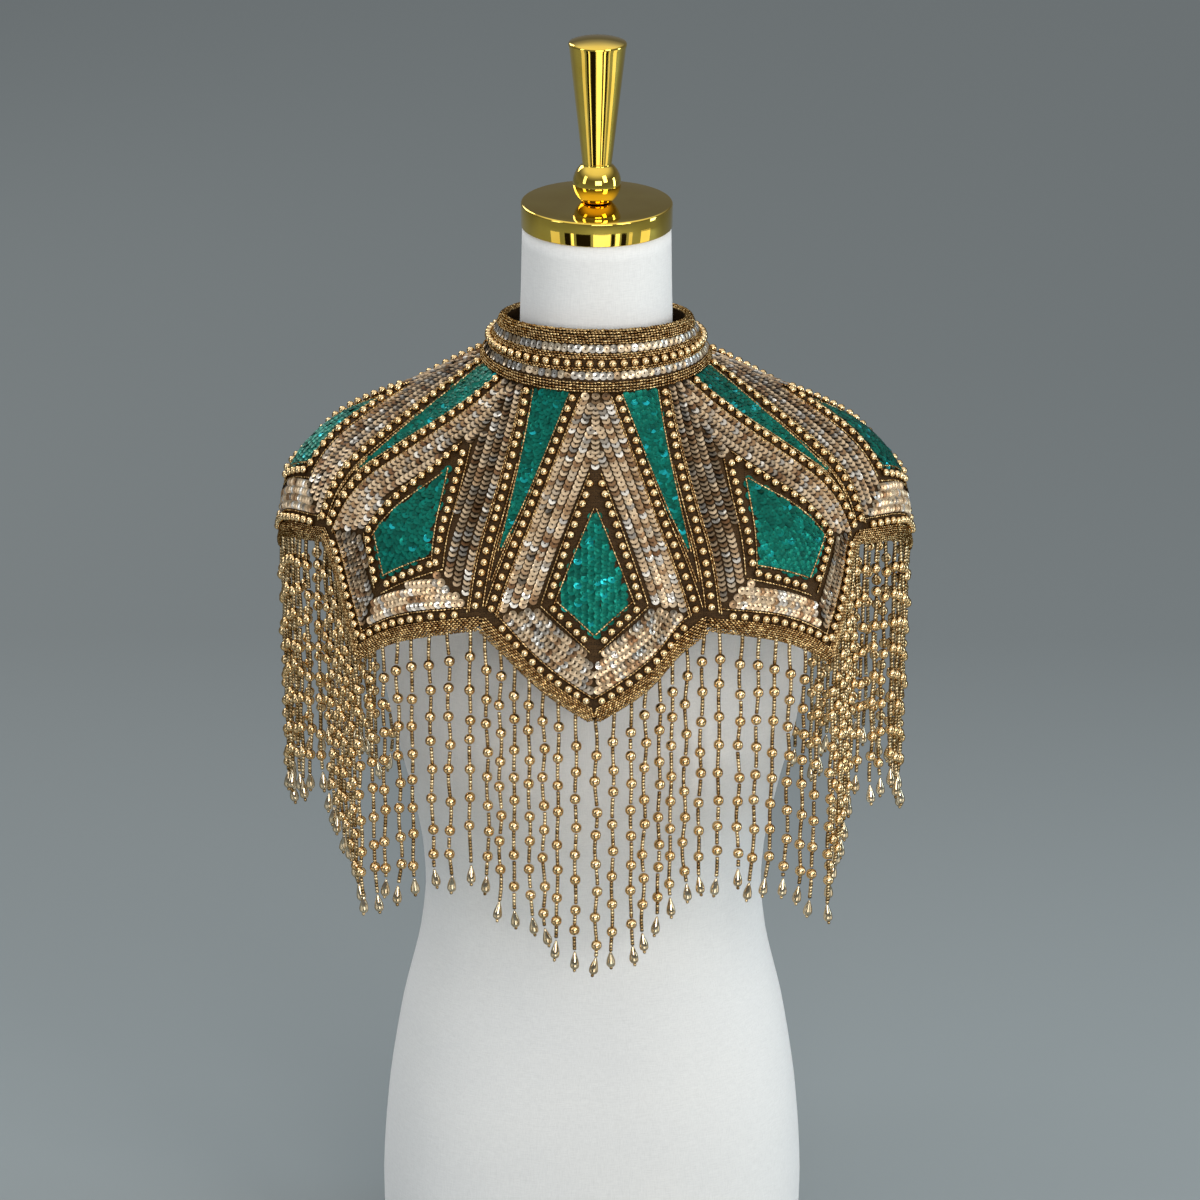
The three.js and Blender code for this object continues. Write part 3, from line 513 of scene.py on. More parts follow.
def swell(petal, w):
    """How far the hem bows out, a parabola from notch to point."""
    share = np.clip(np.abs(w) / HEM_LENGTH, 0, 1)
    inner = (np.abs(petal) == 1) & (np.sign(w) == -petal)
    return np.select([np.mod(petal, 4) == 0, inner], [SWELL, ARCH], 0) * 4 * share * (1 - share)


def hem_place(petal, w, rise):
    """Flat place at w along the hem from the petal's point, positive to its right, and rise above it."""
    rise = rise - swell(petal, w)
    return np.sign(w) * (np.abs(w) * HEM_X - rise * HEM_Y), POINT - np.abs(w) * HEM_Y - rise * HEM_X


def yoke_sheet(name, first, last, columns):
    """A wall of tulle between two bearings (in petals): columns of points from the neck edge to
    the hem, an outer and an inner face, and a rim."""
    place = np.linspace(first, last, columns + 1)[None, :]
    share = np.linspace(0, 1, YOKE_ROWS + 1)[:, None]
    petal = np.clip(np.round(place), np.round(first + 0.01), np.round(last - 0.01))
    angle = (place - petal) * 2 * HALF_CUT
    reach = (NECK_CUT + POINT) / (np.cos(angle) + np.abs(np.sin(angle)) * HEM_Y / HEM_X)
    w = reach * np.sin(angle) / HEM_X
    reach = reach + swell(petal, w) / (HEM_Y * np.abs(np.sin(angle)) + HEM_X * np.cos(angle)) - NECK_CUT
    x, y = (NECK_CUT + share * reach) * np.sin(angle), (NECK_CUT + share * reach) * np.cos(angle) - NECK_CUT
    petal = petal + 0 * share
    outer = on_petal(petal, x, y, -TULLE_UNDER)[0].reshape(-1, 3)
    inner = on_petal(petal, x, y, -TULLE_UNDER - TULLE)[0].reshape(-1, 3)
    uv = np.stack([place * PETAL_WIDTH + 0 * share, share * POINT + 0 * place], -1).reshape(-1, 2) / 1000
    faces = wall_faces(YOKE_ROWS + 1, columns + 1, rows_rise=False)
    return mesh_piece(name, np.vstack([outer, inner]), faces, tulle, uv=np.vstack([uv, uv]))


tulle, tree, shader = new_finish("tulle", Roughness=0.65, Specular_IOR_Level=0.12)
place = object_place(tree)
# A fine net of twisted threads: cells about a millimetre wide, lighter along their walls.
net_cells = {"Vector": place, "Scale": 850.0, "Randomness": 0.55}
cells = add_node(tree, "TexVoronoi", net_cells, feature="DISTANCE_TO_EDGE").outputs["Distance"]
NET_TONES = [
    # share of a cell's way in from its threads, colour
    (0.0, (0.088, 0.047, 0.017)), (0.12, (0.054, 0.028, 0.009)), (0.3, (0.018, 0.009, 0.003)),
]
patches = add_noise(tree, place, 60.0, 3.0)
patches = add_ramp(tree, patches, [(0.3, (0.75, 0.72, 0.62)), (0.7, (1.0, 0.98, 0.9))])
tree.links.new(tinted(tree, add_ramp(tree, cells, NET_TONES), patches), shader.inputs["Base Color"])
add_relief(tree, shader, cells, distance=0.0004, strength=0.5, invert=True)

SEAM_PARTING, SLIT_PARTING = 0.002, 0.006  # in petals
YOKE_CUTS = [
    # piece, the solid it stands for, first and last bearing and width in petals
    ("tulle_front", "yoke_front", -2.5 + SEAM_PARTING, 2.5 - SEAM_PARTING, 5),
    ("tulle_back_right", "yoke_back_right", 2.5 + SEAM_PARTING, 4 - SLIT_PARTING, 1.5),
    ("tulle_back_left", "yoke_back_left", -4 + SLIT_PARTING, -2.5 - SEAM_PARTING, 1.5),
]
for name, node, first, last, petals in YOKE_CUTS:
    sheet = yoke_sheet(name, first, last, int(PETAL_COLUMNS * petals))
    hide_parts(node)

# ---- the stand collar ------------------------------------------------------------------------
# A band of stiffened tulle that leans in towards the neck, higher in front than behind, open at
# the centre back. Rows of beads and sequins cover it.
COLLAR_BOTTOM, COLLAR_TOP, COLLAR_HEIGHT, COLLAR_CREST = 84, 67.5, 31, 9.6
COLLAR_WALL, COLLAR_SLIT, COLLAR_LIFT, COLLAR_CROWN, COLLAR_HOLLOW = 2.0, 1.2, 0.3, 0.5, 0.2
COLLAR_COLUMNS, COLLAR_ROWS = 144, 10


def on_collar(bearing, share, height):
    """Points at a height over the collar and, at each, three directions: down it, round it and
    away from it. share runs from the seam to the top edge."""
    bearing, share, height = np.broadcast_arrays(*(np.asarray(v, float) for v in (bearing, share, height)))
    top = COLLAR_HEIGHT + COLLAR_CREST * np.cos(bearing)
    lean = np.arctan2(COLLAR_BOTTOM - COLLAR_TOP, top)
    radial = np.stack([np.sin(bearing), -np.cos(bearing), 0 * bearing], -1)
    upright = np.array([0.0, 0, 1])
    around = np.stack([np.cos(bearing), np.sin(bearing), 0 * bearing], -1)
    away = radial * np.cos(lean)[..., None] + upright * np.sin(lean)[..., None]
    radius = COLLAR_BOTTOM + (COLLAR_TOP - COLLAR_BOTTOM) * share
    point = radial * radius[..., None] + upright * (SEAM_Z + COLLAR_LIFT + top * share)[..., None]
    return point + away * height[..., None], np.stack([np.cross(around, away), around, away], -2)


half_round = np.pi - COLLAR_SLIT / COLLAR_BOTTOM
bearing = np.linspace(-half_round, half_round, COLLAR_COLUMNS + 1)[None, :]
share = np.linspace(0, 1, COLLAR_ROWS + 1)[:, None]
roll = np.cos(np.pi / 2 * np.abs(2 * share - 1) ** 3)
outer = on_collar(bearing, share, COLLAR_CROWN * roll)[0].reshape(-1, 3)
inner = on_collar(bearing, share, -COLLAR_HOLLOW * roll - COLLAR_WALL)[0].reshape(-1, 3)
faces = wall_faces(COLLAR_ROWS + 1, COLLAR_COLUMNS + 1, rows_rise=True)
collar_band = mesh_piece("collar_band", np.vstack([outer, inner]), faces, tulle)
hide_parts("collar")

# ---- sequins ---------------------------------------------------------------------------------
# Flat six millimetre discs sewn in lines, each line's thread through the centre holes and each
# disc lapping over the next. Champagne ones fill the bands beside the pearl rows and follow
# their run; emerald ones fill the rays between petals and the kites.
random = np.random.default_rng(11)
ROW_AT_NECK, ROW_AT_CORNER = 17.8, 4.4  # the pearl row's distance from the petal's side, at both its ends
ROW_ABOVE_HEM = 10.4
KITES = {
    # petal: flat places of its kite's top, right corner, foot and left corner
    -1: [(-4, 63), (36, 141), (2, 181), (-25, 150)],
    0: [(0, 65), (32, 152), (0, 184.5), (-32, 152)],
    1: [(1.5, 70), (35, 153), (1, 182), (-38, 146)],
}
OTHER_KITE = [(0, 66), (33, 152), (0, 184), (-33, 152)]
RAY_AT_NECK, RAY_LENGTH = 13.3, 122
DISC, DISC_SIDES, DISC_THICK, DISC_DIP = 3.0, 14, 0.16, 0.14
LINE_STEP, HEM_LINE_STEP, DISC_STEP = 6.2, 5.0, 3.6
BESIDE_ROW, BESIDE_HEM_ROW, BESIDE_KITE = 7.7, 8.0, 7.3  # from a pearl row to the nearest sequins' centres
ALONG_ROW_LINES, ALONG_HEM_LINES = 13, 7
LEAST_ACROSS, LEAST_DOWN, MITRE = 2.4, 1.5, 2.0
LINES_START, HEM_LINES_START = -18.0, 2  # from the pearl row's first place, and from the petal's point
HEM_LINES = 20  # the number of the first line above the hem
ROUND_TOP = 1.6  # how much farther than along its sides the discs stay from a kite's top
PETALS = np.arange(-3, 5)


def side_place(distance, inset):
    """Flat place at a distance from the neck edge down the petal's right side and inset from it."""
    reach = NECK_CUT + distance
    return reach * SIDE[0] - inset * SIDE[1], reach * SIDE[1] + inset * SIDE[0] - NECK_CUT


def row_corner(inset, rise):
    """Flat place where a line inset from the side meets one that lies rise above the hem."""
    start = side_place(0, inset)
    base = CORNER[0] - rise * HEM_Y, CORNER[1] - rise * HEM_X
    t = (-(start[0] - base[0]) * HEM_Y - (start[1] - base[1]) * HEM_X) / (SIDE[0] * HEM_Y + SIDE[1] * HEM_X)
    return start[0] + t * SIDE[0], start[1] + t * SIDE[1]


def along_line(start, end, pitch, offset=0.0, first=0.0, line=0):
    """Places a pitch apart on the line from start to end, moved by offset towards the petal's
    centre: x, y, the run's x and y, and the line's number."""
    start, end = np.array(start, float), np.array(end, float)
    run = unit(end - start)
    count = max(int((np.linalg.norm(end - start) - first) / pitch + 1e-6) + 1, 1)
    s = first + pitch * np.arange(count)
    x, y = start[0] + run[0] * s - run[1] * offset, start[1] + run[1] * s + run[0] * offset
    return np.stack([x, y, run[0] + 0 * s, run[1] + 0 * s, line + 0 * s], -1)


ROW_START = np.array(side_place(0, ROW_AT_NECK))
ROW_CORNER = np.array(row_corner(ROW_AT_CORNER, ROW_ABOVE_HEM))


def beyond(start, end, x, y):
    """Distance of flat places from the line from start to end, positive on the side away from
    the petal's centre."""
    run = unit(np.array(end, float) - np.array(start, float))
    return (x - start[0]) * run[1] - (y - start[1]) * run[0]


def kite_of(petal, side=1):
    """The corners of a petal's kite, turned over for its left half."""
    top, right, foot, left = KITES.get(petal, OTHER_KITE)
    corners = (top, right, foot, left) if side > 0 else (top, left, foot, right)
    return [np.array([side * x, y], float) for x, y in corners]


def out_of(corners, x, y):
    """How far flat places lie outside a kite; negative inside it."""
    return np.max([beyond(a, b, x, y) for a, b in zip(corners, corners[1:] + corners[:1])], axis=0)


def on_halves(lay):
    """What is laid on the right half of each petal and, turned over, on its left half. Columns:
    petal, x, y, run x, run y, side and line."""
    table = []
    for petal in PETALS:
        for side in (-1, 1):
            x, y, run_x, run_y, line = lay(petal, side).T
            columns = [petal + 0 * x, x * side, y, run_x * side, run_y, side + 0 * x, line]
            table.append(np.stack(columns, -1))
    return np.vstack(table)


def champagne_half(petal, side):
    """Lines beside the pearl row down to the mitre, then lines above the hem's row."""
    kite = kite_of(petal, side)
    lines = []
    for i in range(ALONG_ROW_LINES):
        first = LINES_START + i % 2 * DISC_STEP / 2
        lines.append(along_line(ROW_START, ROW_CORNER, DISC_STEP, BESIDE_ROW + i * LINE_STEP, first, i))
    down = np.vstack(lines)
    down = down[beyond(kite[1], ROW_CORNER, down[:, 0], down[:, 1]) > MITRE]
    w = np.arange(HEM_LINES_START, HEM_LENGTH, DISC_STEP)
    lines = []
    for i in range(ALONG_HEM_LINES):
        at = w + i % 2 * DISC_STEP / 2
        x, y = hem_place(petal, side * at, ROW_ABOVE_HEM + BESIDE_HEM_ROW + i * HEM_LINE_STEP)
        lines.append(np.stack([side * x, y, -HEM_X + 0 * w, HEM_Y + 0 * w, HEM_LINES + i + 0 * w], -1))
    hem = np.vstack(lines)
    hem = hem[beyond(kite[1], ROW_CORNER, hem[:, 0], hem[:, 1]) < -MITRE]
    both = np.vstack([down, hem])
    x, y = both[:, 0], both[:, 1]
    over_top = (y < kite[0][1]) & (np.hypot(x - kite[0][0], y - kite[0][1]) > BESIDE_KITE + ROUND_TOP)
    clear = (out_of(kite, x, y) > BESIDE_KITE) | over_top
    inside = beyond(ROW_START, ROW_CORNER, x, y) < 1 - BESIDE_ROW
    return both[(x > LEAST_ACROSS) & (y > LEAST_DOWN) & clear & inside]


def centre_line(petal):
    """Discs down a petal's centre line from the neck to the top of its kite, under the others."""
    top = kite_of(petal)[0]
    y = np.arange(DISC, top[1] - BESIDE_KITE - ROUND_TOP, DISC_STEP)
    x = top[0] * y / top[1]
    return np.stack([petal + 0 * y, x, y, 0 * y, 1 + 0 * y, 1 + 0 * y, HEM_LINES - 1 + 0 * y], -1)


gold_places = np.vstack([on_halves(champagne_half)] + [centre_line(petal) for petal in PETALS])

disc_turn = np.linspace(0, 2 * np.pi, DISC_SIDES, endpoint=False)
disc_rim = np.stack([DISC * np.cos(disc_turn), DISC * np.sin(disc_turn), 0 * disc_turn], -1)
disc_points = np.vstack([disc_rim, [0, 0, -DISC_DIP], [0, 0, -DISC_DIP - DISC_THICK]])
disc_faces = np.vstack([fan_faces(DISC_SIDES + under, 0, DISC_SIDES, not under) for under in (0, 1)])


def spread(points, faces, centres, frames):
    """Copies of a small shape, each at a centre and turned to its frame's three directions."""
    copies = centres[:, None, :] + np.einsum("pi,nij->npj", points, frames)
    starts = (np.arange(len(centres)) * len(points))[:, None, None]
    return copies.reshape(-1, 3), [(f[None] + starts).reshape(-1, f.shape[1]) for f in faces]


def tilted(frames, lift, sideways):
    """Frames turned so that their far end lifts away from the cloth, and rocked sideways, in degrees."""
    def turned_over(first, away, angle):
        """Two directions turned in their plane by an angle."""
        cosine, sine = np.cos(np.radians(angle))[:, None], np.sin(np.radians(angle))[:, None]
        return first * cosine + away * sine, away * cosine - first * sine

    across, along, away = frames[:, 0], frames[:, 1], frames[:, 2]
    along, away = turned_over(along, away, lift)
    across, away = turned_over(across, away, sideways)
    return np.stack([across, along, away], -2)


TWISTED_SHARE, TWISTED_TIMES = 0.06, 4.0
LEVEL_LIFT, STEEP_SPAN, LEAST_STEEP = 5, 18, 0.2  # steepness counts from 5 degrees over the next 18


def sew_sequins(name, centres, frames, lift, slack, material):
    """A mesh of sequins lapped along their lines, each in its own shade and at its own slight
    slant, and one in sixteen twisted further on its thread."""
    count = len(centres)
    loose = np.where(random.random(count) < TWISTED_SHARE, TWISTED_TIMES, 1.0) * slack
    frames = tilted(frames, lift + loose * random.normal(0, 1, count), loose * random.normal(0, 1, count))
    points, faces = spread(disc_points, [disc_faces], centres, frames)
    rim = np.tile(np.r_[np.ones(DISC_SIDES), 0, 0], count)
    values = {
        "rim": rim, "tone": np.repeat(random.random(count), len(disc_points)),
        "wide": np.tile(disc_points[:, 0] / DISC, count), "lap": np.tile(disc_points[:, 1] / DISC, count),
        # steep sets how deep the painted shadow under the lapping disc falls on each disc.
        "steep": np.repeat(np.clip((lift - LEVEL_LIFT) / STEEP_SPAN, LEAST_STEEP, 1), len(disc_points)),
    }
    piece = mesh_piece(name, points, faces, material, sharp=rim > 0, values=values)
    return piece


DISH = 0.0005  # metres from a disc's middle up to its rim
LAP_STEP = 1.2  # from a disc's centre back to that of the disc over it, in radii
CRESCENT = 1.5  # from that disc's centre to where its shadow ends, in radii


def sequin_finish(name, shades, hole, metallic, polish, under_lap):
    """Lacquered foil discs: shades and polish by each disc's own tone, a dark hole, a shallow dish,
    and a painted shadow: a crescent just clear of the disc that laps over it, darkened towards the
    share under_lap on discs that stand steep."""
    material, tree, shader = new_finish(name, Metallic=metallic)
    rim, tone = stored(tree, "rim"), stored(tree, "tone")
    wear = add_noise(tree, object_place(tree), 700.0)
    worn = add_ramp(tree, wear, [(0.35, (0.82, 0.82, 0.82)), (0.6, (1.0, 1.0, 1.0))])
    shade = tinted(tree, add_ramp(tree, tone, shades), worn)
    # Painted shadow of the disc that laps over this one: a crescent past that disc's rim, darker on steep
    # discs.
    lap = add_node(tree, "Math", {0: stored(tree, "lap"), 1: LAP_STEP}).outputs[0]
    from_over = add_node(tree, "CombineXYZ", {"X": stored(tree, "wide"), "Y": lap}).outputs[0]
    distance = add_node(tree, "VectorMath", {0: from_over}, operation="LENGTH").outputs["Value"]
    painted_shadow_darkest = {0: stored(tree, "steep"), 1: under_lap - 1, 2: 1.0}
    painted_shadow_darkest = add_node(tree, "Math", painted_shadow_darkest, operation="MULTIPLY_ADD").outputs[0]
    shade = tinted(tree, shade, rescaled(tree, distance, 1.0, CRESCENT, painted_shadow_darkest, 1.0))
    bore = add_ramp(tree, rim, [(0.0, (1, 1, 1)), (0.2, (1, 1, 1)), (0.25, (0, 0, 0))])
    colour = add_node(tree, "MixRGB", {"Fac": bore, "Color1": shade, "Color2": (*hole, 1)}).outputs[0]
    tree.links.new(colour, shader.inputs["Base Color"])
    roughness = add_ramp(tree, tone, [(at, (rough, rough, rough)) for at, rough in polish])
    tree.links.new(roughness, shader.inputs["Roughness"])
    # Each disc is dished: its face rises towards the rim as the square of the distance.
    rise = add_node(tree, "Math", {0: rim, 1: 2.0}, operation="POWER").outputs[0]
    add_relief(tree, shader, rise, distance=DISH, strength=1.0)
    return material


CHAMPAGNE = [
    # tone, colour: copper, bronze, champagne twice, smoke, silver
    (0.0, (0.19, 0.09, 0.035)), (0.14, (0.36, 0.22, 0.11)), (0.3, (0.60, 0.43, 0.26)),
    (0.70, (0.70, 0.53, 0.34)), (0.84, (0.28, 0.25, 0.21)), (0.97, (0.88, 0.82, 0.72)),
]
CHAMPAGNE_POLISH = [(0.0, 0.34), (0.9, 0.28), (0.96, 0.12)]
EMERALD = [
    (0.0, (0.0, 0.074, 0.053)), (0.2, (0.0, 0.11, 0.077)), (0.8, (0.0, 0.145, 0.103)),
    (0.94, (0.0, 0.19, 0.15)), (1.0, (0.01, 0.42, 0.46)),
]
EMERALD_POLISH = [(0.0, 0.44), (0.96, 0.38), (0.99, 0.2)]
DARK_HOLE = (0.03, 0.014, 0.006)
champagne = sequin_finish("champagne_sequin", CHAMPAGNE, DARK_HOLE, 0.68, CHAMPAGNE_POLISH, 0.12)
emerald = sequin_finish("emerald_sequin", EMERALD, (0.0, 0.06, 0.04), 0.82, EMERALD_POLISH, 0.7)

# Discs stand steep in the lines beside the pearl rows; on the front petal and above the hem they
# lie flatter. Their slant changes a little from line to line, as a sine of the line's number.
STEEP, GENTLE, LINE_VARIES = 24, 13, 5
GOLD_HEIGHT, CENTRE_HEIGHT = 1.4, 0.9
petal, x, y, run_x, run_y, side, line = gold_places.T
height = np.where(line == HEM_LINES - 1, CENTRE_HEIGHT, GOLD_HEIGHT)
centres, frames = on_petal(petal, x, y, height, run_x, run_y)
line_lift = np.where((line >= HEM_LINES) | (petal == 0), GENTLE, STEEP)
line_lift = line_lift + LINE_VARIES * np.sin(line * 2.4 + petal * 1.7 + side * 0.9)
champagne_sequins = sew_sequins("champagne_sequins", centres, frames, line_lift, 3.0, champagne)

# Emerald discs are set closer, lapping their neighbours to both sides.
GREEN_LINE, GREEN_STEP, GREEN_HEIGHT = 4.6, 3.4, 1.15
LEAST_HALVES = (3.2, 5.6, 1.0)  # a half ray narrower than this has no such line of discs
INSIDE_PEARLS = 5.7  # from a pearl row to the outermost emerald disc's centre
KITE_LINES, KITE_SPAN = 18, (60, 190)
RAY_FIRST, RAY_LAST, RAY_SLIM = 2.5, RAY_LENGTH - 4, RAY_LENGTH * 0.62
RAY_CLEAR = 1.4  # from the half ray's edge to the outermost disc's centre
GREEN_UNEVEN = (0.1, 0.45, 0.45)  # in height, across and down
GREEN_LIFT, GREEN_SLACK = 7.0, 1.8


def emerald_petal(petal):
    """Upright lines inside the kite."""
    line = np.arange(KITE_LINES)
    across = (line - (KITE_LINES - 1) / 2) * GREEN_LINE
    across, down = np.meshgrid(across, np.arange(*KITE_SPAN, GREEN_STEP), indexing="ij")
    down = down + (line % 2)[:, None] * GREEN_STEP / 2
    keep = out_of(kite_of(petal), across, down) < -INSIDE_PEARLS
    x, y = across[keep], down[keep]
    return np.stack([petal + 0 * x, x, y, 0 * x, 1 + 0 * x, 1 + 0 * x, 0 * x], -1)


def emerald_ray(_, side):
    """On every petal alike: lines that spread from its side to its half ray's edge, fewer as the
    ray narrows, and one line down the side itself where the ray is too slim for more."""
    lines = []
    for i, least in enumerate(LEAST_HALVES):
        first = i % 2 * GREEN_STEP / 2
        line = along_line(side_place(RAY_FIRST, 0), side_place(RAY_LENGTH, 0), GREEN_STEP, 0, first)
        reach = np.hypot(line[:, 0], line[:, 1] + NECK_CUT) - NECK_CUT
        half = RAY_AT_NECK * (1 - reach / RAY_LENGTH) - RAY_CLEAR
        inset = half * (i + 0.5) / (len(LEAST_HALVES) - 0.5)
        line[:, 0] -= inset * SIDE[1]
        line[:, 1] += inset * SIDE[0]
        lines.append(line[half > least])
    if side > 0:
        lines.append(along_line(side_place(RAY_SLIM, 0), side_place(RAY_LAST, 0), GREEN_STEP))
    return np.vstack(lines)


green_places = np.vstack([on_halves(emerald_ray)] + [emerald_petal(petal) for petal in PETALS])
petal, x, y, run_x, run_y, side, line = green_places.T
uneven = random.normal(0, GREEN_UNEVEN, (len(x), 3)).T
centres, frames = on_petal(petal, x + uneven[1], y + uneven[2], GREEN_HEIGHT + uneven[0], run_x, run_y)
lift = np.full(len(x), GREEN_LIFT)
emerald_sequins = sew_sequins("emerald_sequins", centres, frames, lift, GREEN_SLACK, emerald)


def round_collar(rows, step, first_gap, last_gap, shift=None):
    """Places a step apart in rows round the collar, each row between two gaps in radians from the
    slit and shifted by up to shift: bearings, shares of the way up and heights."""
    places = []
    for share, height in rows:
        radius = COLLAR_BOTTOM + (COLLAR_TOP - COLLAR_BOTTOM) * share
        bearings = np.arange(-half_round + first_gap, half_round - last_gap, step / radius)
        if shift:
            bearings = bearings + random.random() * shift
        places.append(np.stack([bearings, share + 0 * bearings, height + 0 * bearings]))
    return np.hstack(places)


# Two rows of sequins go round the collar, each disc lapping the next.
COLLAR_SEQUIN_ROWS, COLLAR_DISC_STEP = [(0.27, 1.6), (0.71, 1.6)], 5.0  # share of the way up, height
COLLAR_DISC_GAP, COLLAR_DISC_LIFT, COLLAR_DISC_SLACK = 0.05, 6.0, 4.5
COLLAR_SHADES = [
    # tone, colour: bronze, champagne twice, smoke twice, silver
    (0.0, (0.34, 0.23, 0.13)), (0.2, (0.62, 0.47, 0.30)), (0.42, (0.76, 0.62, 0.44)),
    (0.6, (0.36, 0.34, 0.31)), (0.74, (0.50, 0.45, 0.38)), (0.92, (0.92, 0.87, 0.78)),
]
collar_shine = sequin_finish("collar_sequin", COLLAR_SHADES, DARK_HOLE, 0.8, CHAMPAGNE_POLISH, 0.5)
collar_places = round_collar(COLLAR_SEQUIN_ROWS, COLLAR_DISC_STEP, COLLAR_DISC_GAP, COLLAR_DISC_GAP)
centres, frames = on_collar(*collar_places)
lift = np.full(len(centres), COLLAR_DISC_LIFT)
collar_sequins = sew_sequins("collar_sequins", centres, frames, lift, COLLAR_DISC_SLACK, collar_shine)

# ---- pearls ----------------------------------------------------------------------------------
# Six millimetre gold plated pearls, sewn on one by one: a row beside each ray that turns along
# the hem, a row round each kite, and a row round the collar.
PEARL, PEARL_STEP, KITE_STEP = 3.0, 8.0, 7.6
PEARL_HEIGHT, PEARL_SHAKE = PEARL * 0.9, 0.25
ROW_FIRST, HEM_ROW_FIRST, HEM_ROW_LAST = 4.0, 3.9, 6  # from the neck edge, the point and the notch
KITE_TOP_PEARL, KITE_CORNER_PEARL, KITE_FOOT_PEARL = [3.8, 1.5], 4.5, [3.6, -3.3]  # from those corners
BALL_COLUMNS, BALL_ROWS = 12, 7


def ball(radius, columns=BALL_COLUMNS, rows=BALL_ROWS):
    """A round bead about its thread, which runs along its second direction."""
    height = np.linspace(-np.pi / 2, np.pi / 2, rows + 1)[1:-1][:, None]
    turn = np.linspace(0, 2 * np.pi, columns, endpoint=False)[None, :]
    out = radius * np.cos(height)
    rings = np.stack([out * np.sin(turn), radius * np.sin(height) + 0 * turn, out * np.cos(turn)], -1)
    return closed_body(rings, [0, -radius, 0], [0, radius, 0])


MOST_POLISHED, LEAST_POLISHED = 0.7, 1.5  # times a finish's roughness


def bead_finish(name, low, high, roughness, scale, middle=0.5):
    """Gold plating over plastic or glass, with tiny flaws: shades by each bead's own tone, half of
    the way from low to high at the tone middle."""
    material, tree, shader = new_finish(name, Metallic=1.0, Specular_Tint=(0.42, 0.26, 0.12))
    flaws = add_noise(tree, object_place(tree), scale, 3.0)
    half_way = tuple((a + b) / 2 for a, b in zip(low, high))
    shade = add_ramp(tree, stored(tree, "tone"), [(0.0, low), (middle, half_way), (1.0, high)])
    worn = add_ramp(tree, flaws, [(0.3, (0.80, 0.78, 0.74)), (0.55, (1.0, 1.0, 1.0))])
    tree.links.new(tinted(tree, shade, worn), shader.inputs["Base Color"])
    polish = rescaled(tree, flaws, 0.3, 0.7, roughness * MOST_POLISHED, roughness * LEAST_POLISHED)
    tree.links.new(polish, shader.inputs["Roughness"])
    return material


def sew_beads(name, shape, centres, frames, material):
    """A mesh of beads of one shape, each in its own shade."""
    points, faces = spread(*shape, centres, frames)
    tone = np.repeat(random.random(len(centres)), len(shape[0]))
    piece = mesh_piece(name, points, faces, material, values={"tone": tone})
    return piece


pearl_gold = bead_finish("pearl_gold", (0.78, 0.54, 0.27), (0.88, 0.67, 0.38), 0.07, 700.0)


def pearl_half(petal, side):
    """The row beside the ray, the row above the hem, and the kite's row, which starts with a pair."""
    top, corner, foot, _ = kite_of(petal, side)
    w = np.arange((ROW_ABOVE_HEM * HEM_Y + HEM_ROW_FIRST) / HEM_X, HEM_LENGTH - HEM_ROW_LAST, PEARL_STEP)
    x, y = hem_place(petal, side * w, ROW_ABOVE_HEM)
    return np.vstack([
        along_line(ROW_START, ROW_CORNER, PEARL_STEP, 0, ROW_FIRST),
        np.stack([side * x, y, -HEM_X + 0 * w, HEM_Y + 0 * w, 0 * w], -1),
        along_line(top + KITE_TOP_PEARL, corner, KITE_STEP),
        along_line(corner, foot + KITE_FOOT_PEARL, KITE_STEP, 0, KITE_CORNER_PEARL),
    ])


petal, x, y, run_x, run_y, side, line = on_halves(pearl_half).T
shake = random.normal(0, PEARL_SHAKE, (2, len(x)))
centres, frames = on_petal(petal, x + shake[0], y + shake[1], PEARL_HEIGHT, run_x, run_y)
yoke_pearls = sew_beads("yoke_pearls", ball(PEARL), centres, frames, pearl_gold)

COLLAR_PEARL_SHARE, COLLAR_PEARL_RADIUS = 0.465, 77
FIRST_GAP, LAST_GAP = 0.06, 0.04  # radians from the slit
bearings = np.arange(FIRST_GAP - half_round, half_round - LAST_GAP, PEARL_STEP / COLLAR_PEARL_RADIUS)
centres, frames = on_collar(bearings, COLLAR_PEARL_SHARE, PEARL_HEIGHT)
collar_pearls = sew_beads("collar_pearls", ball(PEARL), centres, frames, pearl_gold)

# ---- seed beads ------------------------------------------------------------------------------
# Cut glass tubes a little over two millimetres long, bronze and gold. Lines run beside every
# pearl row and ray; close rows bind the hem in a rolled edge, and more lie between the collar's.
SEED_LONG, SEED_HALF, SEED_STEP, SEED_SIDES = 2.3, 0.85, 2.55, 5


def tube(length, radius, sides):
    """A short tube about its thread, which runs along its second direction."""
    turn = np.linspace(0, 2 * np.pi, sides, endpoint=False)
    at = length * np.array([-0.5, 0.5])[:, None]
    rings = np.stack([radius * np.sin(turn) + 0 * at, at + 0 * turn, radius * np.cos(turn) + 0 * at], -1)
    ends = np.stack([np.arange(sides)[::-1], np.arange(sides) + sides])
    return rings.reshape(-1, 3), [tube_faces(2, sides), ends]


